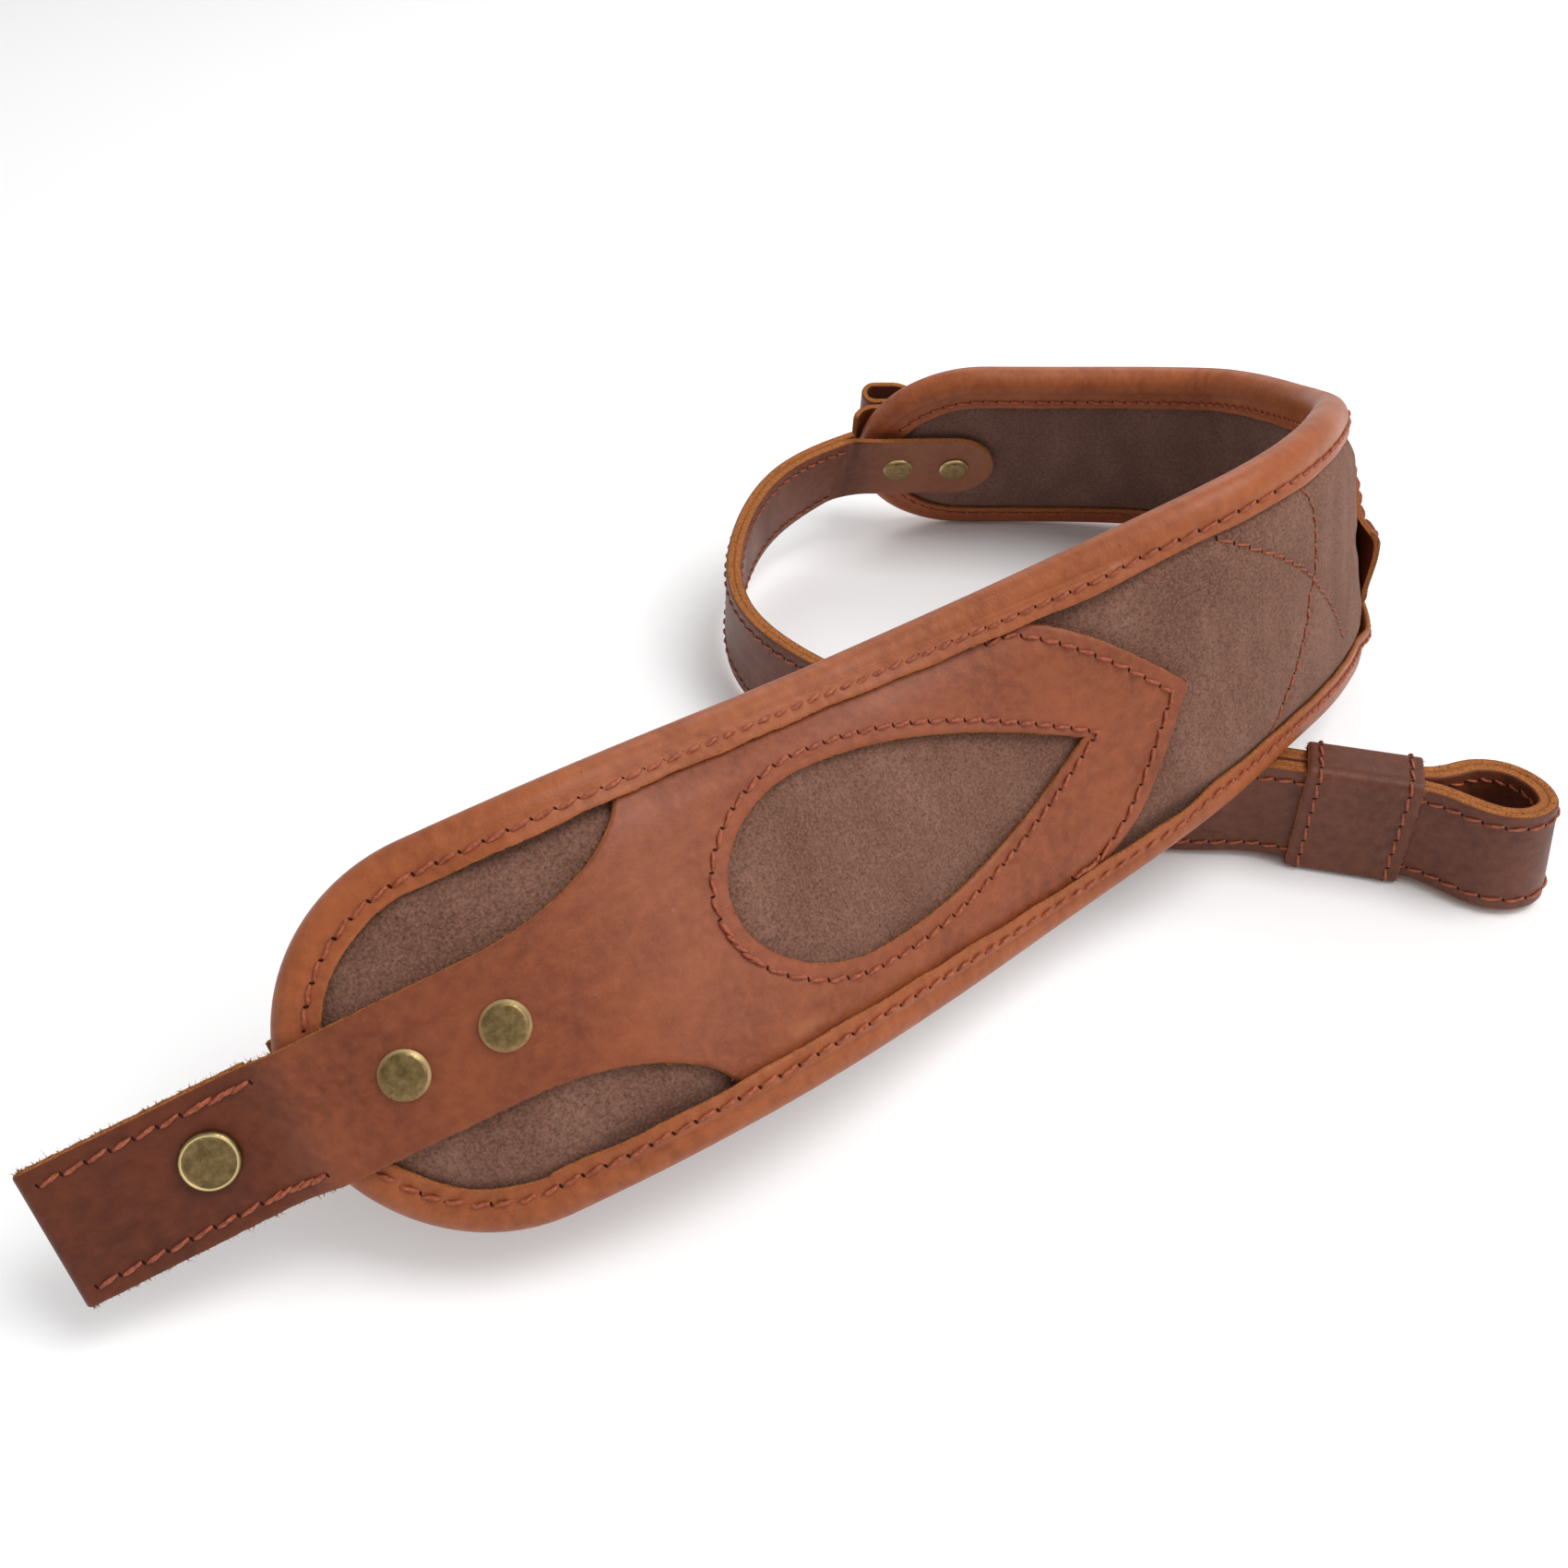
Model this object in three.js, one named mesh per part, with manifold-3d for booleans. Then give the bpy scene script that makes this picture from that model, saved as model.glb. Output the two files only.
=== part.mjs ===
// Padded leather shoulder strap: a long quilted pad with a leather yoke at each end,
// a short folded loop at one end and a long stitched tail with a sliding keeper at the other.
import * as THREE from 'three';
import { mergeVertices } from 'three/addons/utils/BufferGeometryUtils.js';
import Module from 'manifold-3d';

const wasm = await Module();
wasm.setup();

// ---------- driving dimensions, millimetres and degrees ----------
const GAP = 0.3;
const YOKE_GAP = 0.6;
const PAD_WIDTH = 78.6;
const PAD_FROM = -1.8;
const PAD_TO = 546.3;
const MIRROR_SUM = 544.5;
const EDGE_CORE = 2.3;
const MIDDLE_CORE = 5.1;
const CORE_RISE_FROM = 5;
const CORE_RISE_OVER = 12;
const SUEDE = 1.3;
const STRAP_LEATHER = 1.8;
const BINDING_LEATHER = 1.6;
const BINDING_ROLL = 4.7;
const BINDING_OUTER_LAP = 9.5;
const BINDING_INNER_LAP = 11.2;
const BINDING_SEAM = 6.9;
const BINDING_INNER_SEAM = 9;
const STRAP_HALF = 14.1;
const STRAP_LEVEL = 5.7;
const TAB_LEVEL = 6.5;
const YOKE_TUCK = 6.3;
const FLARE_FROM = 40;
const FLARE_REACH = 38;
const FLARE_RISE = 23;
const ARROW_FROM = 170;
const ARROW_TIP = 214.8;
const ARROW_POWER = 1.9;
const WINDOW_FROM = 88;
const WINDOW_WIDEST = 116;
const WINDOW_TIP = 187;
const WINDOW_HALF = 20.3;
const WINDOW_POWER = 2.05;
const SEAM_INSET = 3.2;
const RIVETS_NEAR = [22.2, 41.9];
const RIVETS_FAR = [533, 513.9];
const RIVET_CAP = 10;
const RIVET_STEM = 3;
const RIVET_HOLE = 3.8;
const TAB_NEAR_END = 56;
const TAB_FAR_END = 500.5;
const CREASE = -2.4;
const LOOP_AXIS_LEVEL = 3.3;
const LOOP_LEVEL = 2.25;
const LOOP_FOLD = -47.3;
const LOOP_SWING = 6.5;
const LOOP_BACK_BEND = 0.3;
const STUD_AT = -17;
const STUD_CAP = 11.6;
const REAR_LOOP_FROM = 503;
const REAR_LOOP_PINCH = 521;
const REAR_LOOP_FOLD = 541;
const REAR_LOOP_OPENING = 7;
const TAIL_HALF = 14.1;
const TAIL_LEATHER = 2.2;
const TAIL_FROM = 1.6;
const RUN_SPACING = 5.5;
const KEEPER_LENGTH = 27.5;
const KEEPER_LEATHER = 1.8;
const THREAD = 0.8;

// centreline of the pad: x, y, z and lean from upright in degrees
const PAD_ROUTE = [
  [-90.4, 195.6, 36.2, 29.4], [-26.6, 213.8, 59.6, 42.7], [18.3, 259.8, 50.2, 43.2],
  [61.5, 290, 55, 23.5], [115.4, 311.1, 76.7, 8.1], [143.2, 359.2, 67.5, 14.5],
  [169.2, 421.6, 42.6, 16.8], [154.9, 480.8, 40, 28.8], [92.6, 491.9, 35.2, 28],
  [23.5, 490.2, 36.2, 28],
];
// centreline of the tail strap, from the crease at the pad to the end hidden under the pad
const TAIL_ROUTE = [
  [21.5, 489.5, 31, 26], [-8.5, 463.5, 29, 12], [-18.5, 413, 22, 2], [-10.5, 379, 17.5, -3],
  [33.5, 344, 14.9, -2], [88.5, 318, 15, -1], [119, 317.7, 16.3, -3], [125.8, 315.9, 16.4, -3],
  [132.6, 314.1, 16.4, -3], [139.3, 312.3, 16.4, -3], [146, 310.5, 16.4, -3],
  [152.7, 308.7, 16.4, -3], [159.5, 306.9, 16.4, -3], [164.6, 304.3, 16.3, -3],
  [169.6, 299.4, 16.2, -3], [175.5, 295.3, 16, 0], [182.5, 294.6, 15.8, 4], [190.4, 299, 15.8, 8],
  [190.4, 308.6, 15.8, 8], [183.5, 316.2, 16, 5], [174, 316.8, 16.2, 3],
  [167.6, 313.4, 16.4, 3], [161.4, 312.1, 16.4, 3], [154.2, 314, 16.4, 3],
  [147.5, 315.8, 16.4, 3], [140.8, 317.6, 16.4, 3], [134.1, 319.4, 16.4, 3],
  [127.4, 321.2, 16.4, 3], [120.7, 323, 16.4, 3], [100.7, 328.4, 16.2, 3],
];
const KEEPER_CENTRE = [145.2, 310.8];
// the part's own origin: middle of its footprint, on the ground
const ORIGIN = [26.97, 341.48, -0.07];

const UP = new THREE.Vector3(0, 0, 1);

// ---------- a flat strap bent along a smooth route ----------
class StrapRoute {
  constructor(points) {
    const first = points[0].map((v, k) => 2 * v - points[1][k]);
    const n = points.length;
    const last = points[n - 1].map((v, k) => 2 * v - points[n - 2][k]);
    this.points = [first, ...points, last];
    this.spans = n - 1;
    this.table = [{ t: 0, s: 0 }];
    let before = this.blend(0).value;
    for (let i = 1; i <= 600; i += 1) {
      const t = (this.spans * i) / 600;
      const now = this.blend(t).value;
      const step = Math.hypot(now[0] - before[0], now[1] - before[1], now[2] - before[2]);
      this.table.push({ t, s: this.table[i - 1].s + step });
      before = now;
    }
    this.length = this.table[600].s;
  }

  blend(t) {
    const i = Math.min(Math.floor(t), this.spans - 1);
    const f = t - i;
    const g = 1 - f;
    const w = [g * g * g, 3 * f * f * f - 6 * f * f + 4, -3 * f * f * f + 3 * f * f + 3 * f + 1, f * f * f];
    const d = [-g * g, 3 * f * f - 4 * f, -3 * f * f + 2 * f + 1, f * f];
    const mix = (c, k) => c.reduce((sum, v, j) => sum + v * this.points[i + j][k], 0);
    return {
      value: [0, 1, 2, 3].map((k) => mix(w, k) / 6),
      slope: [0, 1, 2].map((k) => mix(d, k) / 2),
    };
  }

  frame(s) {
    const inside = Math.min(Math.max(s, 0), this.length);
    let low = 0;
    let high = 600;
    while (high - low > 1) {
      const middle = (low + high) >> 1;
      if (this.table[middle].s > inside) high = middle;
      else low = middle;
    }
    const a = this.table[low];
    const b = this.table[high];
    const t = a.t + ((b.t - a.t) * (inside - a.s)) / (b.s - a.s);
    const { value, slope } = this.blend(t);
    const along = new THREE.Vector3(...slope).normalize();
    const centre = new THREE.Vector3(value[0], value[1], value[2]).addScaledVector(along, s - inside);
    const side = new THREE.Vector3().crossVectors(UP, along).normalize();
    const rise = new THREE.Vector3().crossVectors(along, side);
    const lean = THREE.MathUtils.degToRad(value[3]);
    const across = rise.clone().multiplyScalar(Math.cos(lean)).addScaledVector(side, Math.sin(lean));
    const out = rise.clone().multiplyScalar(Math.sin(lean)).addScaledVector(side, -Math.cos(lean));
    return { centre, along, across, out };
  }

  // a point at distance s along, u across and n out, on straight facets between the stations
  at(s, u, n) {
    const i = this.stations.findIndex((v) => v > s);
    if (i < 1) return this.exact(s, u, n);
    const [from, to] = [this.stations[i - 1], this.stations[i]];
    const a = this.exact(from, u, n);
    const b = this.exact(to, u, n);
    return a.map((v, k) => v + ((b[k] - v) * (s - from)) / (to - from));
  }

  exact(s, u, n) {
    const f = this.frame(s);
    const p = f.centre.addScaledVector(f.across, u).addScaledVector(f.out, n);
    return [p.x - ORIGIN[0], p.y - ORIGIN[1], p.z - ORIGIN[2]];
  }
}

const pad = new StrapRoute(PAD_ROUTE);
const tail = new StrapRoute(TAIL_ROUTE);

// ---------- flat pattern of the pad ----------
const HALF = PAD_WIDTH / 2;
const ROUND_NEAR = PAD_FROM + HALF;
const ROUND_FAR = PAD_TO - HALF;

const smooth = (t) => {
  const c = Math.min(Math.max(t, 0), 1);
  return c * c * (3 - 2 * c);
};

// distance inward from the pad's outline
const inset = (s, u) => HALF - Math.hypot(s - Math.min(Math.max(s, ROUND_NEAR), ROUND_FAR), u);

// half thickness of the padded body
const core = (d) => EDGE_CORE + (MIDDLE_CORE - EDGE_CORE) * smooth((d - CORE_RISE_FROM) / CORE_RISE_OVER);

// the suede is pressed a little flatter where the binding covers it
const suedeTop = (d) => core(d) - 0.8 * (1 - smooth((d - 12) / 4));

// half width of the outline drawn in by d
function halfWidth(s, d) {
  const beyond = s - Math.min(Math.max(s, ROUND_NEAR), ROUND_FAR);
  return Math.sqrt(Math.max((HALF - d) ** 2 - beyond ** 2, 0));
}

// how far the binding stands up where a yoke is tucked under it
function tuckLift(s) {
  const near = Math.min(s, MIRROR_SUM - s);
  return (STRAP_LEATHER + YOKE_GAP) * smooth((near - 40) / 16) * smooth((218 - near) / 16);
}

function bindingUnder(s, d) {
  return core(d) + GAP + tuckLift(s) * smooth((d - 4.7) / 1.6);
}

// ---------- facet lines shared by all pieces, so that their faces nest ----------
const PAD_STATIONS = [];
for (let s = 0; s < 545; s += s >= 220 && s < 450 ? 10 : 11) PAD_STATIONS.push(s);
pad.stations = [...PAD_STATIONS, pad.length];
const TAIL_STATIONS = [];
for (let s = 0; s < tail.length - 4; s += s > 215 ? 4.5 : 10) TAIL_STATIONS.push(s);
TAIL_STATIONS.push(tail.length);
tail.stations = TAIL_STATIONS;

function stationsBetween(from, to, extra = []) {
  const inside = PAD_STATIONS.filter((s) => s > from + 1.5 && s < to - 1.5);
  const all = [from, ...inside, to, ...extra].sort((a, b) => a - b);
  return all.filter((s, i) => i === 0 || s - all[i - 1] > 0.4);
}

// ---------- solids from flat patterns ----------
const keyOf = (p) => `${p[0].toFixed(3)},${p[1].toFixed(3)}`;

// rows of flat points make triangles; isOpen leaves a slit between two columns
function gridCells(rows, isOpen = () => false) {
  const cells = [];
  for (let i = 0; i + 1 < rows.length; i += 1) {
    for (let j = 0; j + 1 < rows[i].length; j += 1) {
      if (!isOpen(i, j)) {
        const [a, b, c, d] = [rows[i][j], rows[i + 1][j], rows[i + 1][j + 1], rows[i][j + 1]];
        cells.push([a, b, c], [a, c, d]);
      }
    }
  }
  return cells;
}

function geometryFrom(points, faces) {
  const geometry = new THREE.BufferGeometry();
  geometry.setAttribute('position', new THREE.Float32BufferAttribute(points.flat(), 3));
  geometry.setIndex(faces.flat());
  geometry.computeVertexNormals();
  return geometry;
}

// a sheet of leather, suede or foam: place(s, u, side) gives its under (0) and upper (1) faces
function sheetSolid(cells, place) {
  const points = [];
  const index = new Map();
  const vertex = (p) => {
    const key = keyOf(p);
    if (!index.has(key)) {
      index.set(key, points.length);
      points.push(place(p[0], p[1], 0), place(p[0], p[1], 1));
    }
    return index.get(key);
  };
  const faces = [];
  const edges = new Map();
  for (const cell of cells) {
    const [a, b, c] = cell.map(vertex);
    if (a !== b && b !== c && a !== c) {
      faces.push([a + 1, b + 1, c + 1], [a, c, b]);
      for (const [m, n] of [[a, b], [b, c], [c, a]]) edges.set(`${m}_${n}`, [m, n]);
    }
  }
  for (const [m, n] of edges.values()) {
    if (!edges.has(`${n}_${m}`)) faces.push([m, n, n + 1], [m, n + 1, m + 1]);
  }
  return geometryFrom(points, faces);
}

function signedVolume(geometry) {
  const p = geometry.getAttribute('position');
  const index = geometry.getIndex().array;
  const [a, b, c] = [new THREE.Vector3(), new THREE.Vector3(), new THREE.Vector3()];
  let sum = 0;
  for (let i = 0; i < index.length; i += 3) {
    a.fromBufferAttribute(p, index[i]);
    b.fromBufferAttribute(p, index[i + 1]);
    c.fromBufferAttribute(p, index[i + 2]);
    sum += a.dot(b.cross(c));
  }
  return sum / 6;
}

// a bar with the same section all along; closed joins its end to its start
function sweepSolid(sections, closed) {
  const m = sections[0].length;
  const faces = [];
  const count = closed ? sections.length : sections.length - 1;
  for (let i = 0; i < count; i += 1) {
    const a = i * m;
    const b = ((i + 1) % sections.length) * m;
    for (let j = 0; j < m; j += 1) {
      const k = (j + 1) % m;
      faces.push([a + j, a + k, b + k], [a + j, b + k, b + j]);
    }
  }
  if (!closed) {
    const end = (sections.length - 1) * m;
    for (let j = 1; j + 1 < m; j += 1) {
      faces.push([0, j + 1, j], [end, end + j, end + j + 1]);
    }
  }
  let geometry = geometryFrom(sections.flat(), faces);
  if (signedVolume(geometry) < 0) geometry = geometryFrom(sections.flat(), faces.map(([a, b, c]) => [a, c, b]));
  return geometry;
}

// ---------- cutting holes ----------
function solidOf(geometry) {
  const bare = geometry.clone();
  bare.deleteAttribute('normal');
  bare.deleteAttribute('uv');
  const merged = mergeVertices(bare, 1e-4);
  return new wasm.Manifold(new wasm.Mesh({
    numProp: 3,
    vertProperties: new Float32Array(merged.getAttribute('position').array),
    triVerts: new Uint32Array(merged.getIndex().array),
  }));
}

function geometryOf(solid) {
  const mesh = solid.getMesh();
  const geometry = new THREE.BufferGeometry();
  geometry.setAttribute('position', new THREE.Float32BufferAttribute(Array.from(mesh.vertProperties), 3));
  geometry.setIndex(Array.from(mesh.triVerts));
  geometry.computeVertexNormals();
  return geometry;
}

function cutHoles(geometry, cutters) {
  let solid = solidOf(geometry);
  for (const cutter of cutters) solid = solid.subtract(solidOf(cutter));
  return geometryOf(solid);
}

// stands a lathe shape on the surface at (s, u), its axis square to the leather there
function standOn(geometry, place, s, u, level) {
  const base = new THREE.Vector3(...place(s, u, level));
  const along = new THREE.Vector3(...place(s + 0.5, u, level)).sub(base).normalize();
  const across = new THREE.Vector3(...place(s, u + 0.5, level)).sub(base);
  const axis = new THREE.Vector3().crossVectors(along, across).normalize();
  const rising = new THREE.Vector3(...place(s, u, level + 1)).sub(base);
  if (axis.dot(rising) < 0) axis.negate();
  const side = new THREE.Vector3().crossVectors(axis, along).normalize();
  const turned = geometry.clone();
  turned.applyMatrix4(new THREE.Matrix4().makeBasis(side, axis, along).setPosition(base));
  return turned;
}

// ---------- pieces of hardware ----------
function capProfile(radius, rim, crown) {
  return [
    new THREE.Vector2(0, 0), new THREE.Vector2(radius, 0), new THREE.Vector2(radius, rim),
    new THREE.Vector2(radius * 0.86, crown * 0.8), new THREE.Vector2(radius * 0.5, crown * 0.96),
    new THREE.Vector2(0, crown),
  ];
}

function latheSolid(profile, segments = 14) {
  return geometryOf(solidOf(new THREE.LatheGeometry(profile, segments)));
}

function capWithStem(cap, stem, length) {
  return latheSolid([
    new THREE.Vector2(0, -length), new THREE.Vector2(stem / 2, -length), new THREE.Vector2(stem / 2, 0),
    ...cap.slice(1),
  ]);
}

function holeCutter(place, s, u, from, to, diameter) {
  const bar = latheSolid([
    new THREE.Vector2(0, 0), new THREE.Vector2(diameter / 2, 0),
    new THREE.Vector2(diameter / 2, to - from), new THREE.Vector2(0, to - from),
  ], 12);
  return standOn(bar, place, s, u, from);
}

// ---------- materials ----------
const leather = (color, roughness = 0.55) => new THREE.MeshStandardMaterial({ color, roughness, metalness: 0 });
const MATERIALS = {
  yoke: leather(0x8c4c2e),
  binding: leather(0x96553a),
  strap: leather(0x6e3f2d),
  suede: leather(0x614037, 0.95),
  foam: leather(0xd8cfb8, 0.9),
  thread: leather(0xa55537, 0.7),
  brass: new THREE.MeshStandardMaterial({ color: 0x8a7448, roughness: 0.35, metalness: 1 }),
};

const group = new THREE.Group();
function addPiece(name, geometry, material) {
  const mesh = new THREE.Mesh(geometry, MATERIALS[material]);
  mesh.name = name;
  group.add(mesh);
  return mesh;
}

// ---------- the pad ----------
const padAt = (s, u, n) => pad.at(s, u, n);

// rows across the rounded outline drawn in by d
function padRows(d, columns) {
  const from = PAD_FROM + d;
  const to = PAD_TO - d;
  const ends = [0.6, 2.2, 5, 9, 14, 20].flatMap((e) => [from + e, to - e]);
  return stationsBetween(from, to, ends).map((s) => {
    const h = halfWidth(s, d);
    return columns.map((c) => [s, c * h]);
  });
}

const bothSides = (columns) => [...columns.map((c) => -c).reverse(), 0, ...columns];
const PAD_COLUMNS = bothSides([0.3, 0.6, 0.74, 0.87, 1]);
const FOAM_COLUMNS = bothSides([0.35, 0.7, 1]);
const ALL_RIVETS = [...RIVETS_NEAR, ...RIVETS_FAR];

function rivetHoles(stations, from, to) {
  return stations.map((s) => holeCutter(padAt, s, 0, from, to, RIVET_HOLE));
}

function outerSuede() {
  const place = (s, u, side) => padAt(s, u, suedeTop(inset(s, u)) - (side ? 0 : SUEDE));
  return cutHoles(sheetSolid(gridCells(padRows(3.6, PAD_COLUMNS)), place), rivetHoles(ALL_RIVETS, 1, 8));
}

function innerSuede() {
  const place = (s, u, side) => padAt(s, u, -suedeTop(inset(s, u)) + (side ? SUEDE : 0));
  return cutHoles(sheetSolid(gridCells(padRows(3.6, PAD_COLUMNS)), place), rivetHoles(ALL_RIVETS, -8, -1));
}

function padding() {
  const half = (s, u) => suedeTop(inset(s, u)) - SUEDE - 2 * GAP;
  const place = (s, u, side) => padAt(s, u, side ? half(s, u) : -half(s, u));
  return cutHoles(sheetSolid(gridCells(padRows(9, FOAM_COLUMNS)), place), rivetHoles(ALL_RIVETS, -6, 6));
}

// points once round the pad's outline: centre of the nearest arc or side, and the way outward
function outlineWalk(arcSteps = 14) {
  const steps = [];
  const sides = PAD_STATIONS.filter((s) => s > ROUND_NEAR + 3 && s < ROUND_FAR - 3);
  const arc = (centre, start) => {
    for (let i = 0; i <= arcSteps; i += 1) {
      const angle = start + (Math.PI * i) / arcSteps;
      steps.push({ s: centre, along: Math.sin(angle), across: -Math.cos(angle) });
    }
  };
  sides.forEach((s) => steps.push({ s, along: 0, across: -1 }));
  arc(ROUND_FAR, 0);
  [...sides].reverse().forEach((s) => steps.push({ s, along: 0, across: 1 }));
  arc(ROUND_NEAR, Math.PI);
  return steps;
}

const walkPoint = (step, d) => [step.s + step.along * (HALF - d), step.across * (HALF - d)];
const bindingTop = (s, d) => Math.max(bindingUnder(s, d) + BINDING_LEATHER, BINDING_ROLL);
const bindingBottom = (d) => Math.max(core(d) + GAP + BINDING_LEATHER, BINDING_ROLL - 0.3);

function edgeBinding() {
  const small = BINDING_ROLL - 1.8;
  const section = (step) => {
    const at = (d, n) => padAt(...walkPoint(step, d), n);
    const bend = (radius, degrees) => {
      const a = THREE.MathUtils.degToRad(degrees);
      return at(BINDING_ROLL - radius * Math.sin(a), radius * Math.cos(a));
    };
    const under = (d) => bindingUnder(walkPoint(step, d)[0], d);
    return [
      at(BINDING_OUTER_LAP, under(BINDING_OUTER_LAP) + BINDING_LEATHER),
      at(6.6, bindingTop(walkPoint(step, 6.6)[0], 6.6)),
      bend(BINDING_ROLL, 0), bend(BINDING_ROLL, 45), bend(BINDING_ROLL, 90), bend(BINDING_ROLL, 135),
      bend(BINDING_ROLL, 180),
      at(7.5, -bindingBottom(7.5)), at(BINDING_INNER_LAP, -bindingBottom(BINDING_INNER_LAP)),
      at(BINDING_INNER_LAP, -core(BINDING_INNER_LAP) - GAP), at(7.5, -core(7.5) - GAP),
      bend(small, 180), bend(small, 90), bend(small, 0),
      at(6.3, under(6.3)), at(BINDING_OUTER_LAP, under(BINDING_OUTER_LAP)),
    ];
  };
  return sweepSolid(outlineWalk().map(section), true);
}

// ---------- the yokes ----------
// half width of a yoke at distance s from the near end
function yokeHalf(s) {
  const wide = HALF - YOKE_TUCK;
  if (s <= FLARE_FROM) return STRAP_HALF;
  if (s <= ARROW_FROM) {
    const t = Math.min((s - FLARE_FROM) / FLARE_REACH, 1);
    return Math.min(STRAP_HALF + FLARE_RISE * (1 - Math.sqrt(1 - t * t)), wide);
  }
  return wide * (1 - Math.min((s - ARROW_FROM) / (ARROW_TIP - ARROW_FROM), 1) ** ARROW_POWER);
}

// half height of the teardrop window, grown by extra
function windowHalf(s, extra = 0) {
  const from = WINDOW_FROM - extra * 1.1;
  const tip = WINDOW_TIP + extra;
  if (s <= from || s >= tip) return 0;
  const half = WINDOW_HALF + extra;
  if (s < WINDOW_WIDEST) return half * Math.sqrt(1 - ((WINDOW_WIDEST - s) / (WINDOW_WIDEST - from)) ** 2);
  return half * (1 - ((s - WINDOW_WIDEST) / (tip - WINDOW_WIDEST)) ** WINDOW_POWER);
}

// the loose point of the far yoke curls away from the pad
function curl(s, u) {
  const near = MIRROR_SUM - s;
  if (s < MIRROR_SUM / 2) return 0;
  return 4.5 * smooth((near - 194) / 20) * smooth((u + 30) / 12) * smooth((6 - u) / 10);
}

// level of the underside of a yoke
function yokeUnder(s, u) {
  const near = Math.min(s, MIRROR_SUM - s);
  if (s < 3) return Math.max(2.4, Math.sqrt(Math.max(STRAP_LEVEL ** 2 - (s - 3) ** 2, 0)));
  if (near < 20) return STRAP_LEVEL;
  return Math.max(core(inset(s, u)) + YOKE_GAP, near < 52 ? STRAP_LEVEL : 0) + curl(s, u);
}

const YOKE_MARKS = [52, 58, 63, 68, 72, 75, 77.5, WINDOW_FROM, 88.7, 90.5, 94, 100, 107, WINDOW_WIDEST,
  181, WINDOW_TIP, 192, 198, 203.5, 208, 212];

function yokeRows(near) {
  const flat = near
    ? stationsBetween(CREASE, ARROW_TIP, [-1.5, -0.5, 1, 3, ...YOKE_MARKS])
    : stationsBetween(MIRROR_SUM - ARROW_TIP, WRAP_CENTRE, YOKE_MARKS.map((m) => MIRROR_SUM - m));
  const rows = flat.map((s) => {
    const m = near ? s : MIRROR_SUM - s;
    const w = windowHalf(m);
    const upper = [0, 0.4, 0.75, 0.9, 1].map((c) => w + (yokeHalf(m) - w) * c);
    return [...upper.map((u) => [s, -u]).reverse(), ...upper.map((u) => [s, u])];
  });
  const half = (i) => windowHalf(near ? rows[i][0][0] : MIRROR_SUM - rows[i][0][0]);
  const isOpen = (i, j) => j === 4 && (half(i) > 0 || half(i + 1) > 0);
  return { rows, isOpen };
}

function frontYoke() {
  const { rows, isOpen } = yokeRows(true);
  const place = (s, u, side) => padAt(s, u, yokeUnder(s, u) + side * STRAP_LEATHER);
  return cutHoles(sheetSolid(gridCells(rows, isOpen), place), rivetHoles(RIVETS_NEAR, 2, 10));
}

// wraps a flat strap round the far end of the binding
const WRAP_CENTRE = PAD_TO - BINDING_ROLL;
function aroundEnd(s, u, level) {
  if (s <= WRAP_CENTRE) return padAt(s, u, level);
  const angle = (s - WRAP_CENTRE) / STRAP_LEVEL;
  return padAt(WRAP_CENTRE + level * Math.sin(angle), u, level * Math.cos(angle));
}

function farYoke() {
  const { rows, isOpen } = yokeRows(false);
  const last = rows[rows.length - 1];
  for (const e of [2.5, 5, 7.5]) rows.push(last.map(([, u]) => [WRAP_CENTRE + e, u]));
  const level = (s, u) => (s > WRAP_CENTRE ? STRAP_LEVEL : yokeUnder(s, u));
  const place = (s, u, side) => aroundEnd(s, u, level(s, u) + side * STRAP_LEATHER);
  return cutHoles(sheetSolid(gridCells(rows, isOpen), place), rivetHoles(RIVETS_FAR, 2, 10));
}

// ---------- the tabs on the lining ----------
function tabRows(straight, rounded) {
  const towards = Math.sign(rounded - straight);
  const centre = rounded - towards * STRAP_HALF;
  const rows = stationsBetween(Math.min(straight, centre), Math.max(straight, centre)).map((s) => [s, STRAP_HALF]);
  for (const degrees of [25, 50, 70, 90]) {
    const a = THREE.MathUtils.degToRad(degrees);
    rows.push([centre + towards * STRAP_HALF * Math.sin(a), STRAP_HALF * Math.cos(a)]);
  }
  rows.sort((a, b) => a[0] - b[0]);
  return rows.map(([s, h]) => [-1, -0.5, 0, 0.5, 1].map((c) => [s, c * h]));
}

function lengthTab(straight, rounded, rivets) {
  const place = (s, u, side) => padAt(s, u, -TAB_LEVEL - (side ? 0 : STRAP_LEATHER));
  return cutHoles(sheetSolid(gridCells(tabRows(straight, rounded)), place), rivetHoles(rivets, -10, -3));
}

// ---------- folded loops ----------
// a band of leather following a path of [s, n, normal s, normal n] in the strap's long section
function bandSolid(path, half, thick, at) {
  const sections = path.map(([s, n, ns, nn]) => [
    at(s, -half, n), at(s, half, n),
    at(s + ns * thick, half, n + nn * thick), at(s + ns * thick, -half, n + nn * thick),
  ]);
  return sweepSolid(sections, false);
}

// half turn of a folded strap about (s, n), facing along towards
function foldTurn(s, n, radius, towards, steps) {
  const turn = [];
  for (let i = 0; i <= steps; i += 1) {
    const a = (Math.PI * i) / steps;
    turn.push([s + towards * radius * Math.sin(a), n + radius * Math.cos(a), towards * Math.sin(a), Math.cos(a)]);
  }
  return turn;
}

// the front loop swings out a little from the pad, turned about the crease
function loopAt(s, u, n) {
  const back = CREASE - s;
  const lift = n - LOOP_AXIS_LEVEL;
  const swing = THREE.MathUtils.degToRad(LOOP_SWING);
  const reach = back * Math.cos(swing) - lift * Math.sin(swing);
  return padAt(CREASE - reach, u, LOOP_AXIS_LEVEL + lift * Math.cos(swing) + back * Math.sin(swing));
}

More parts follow.
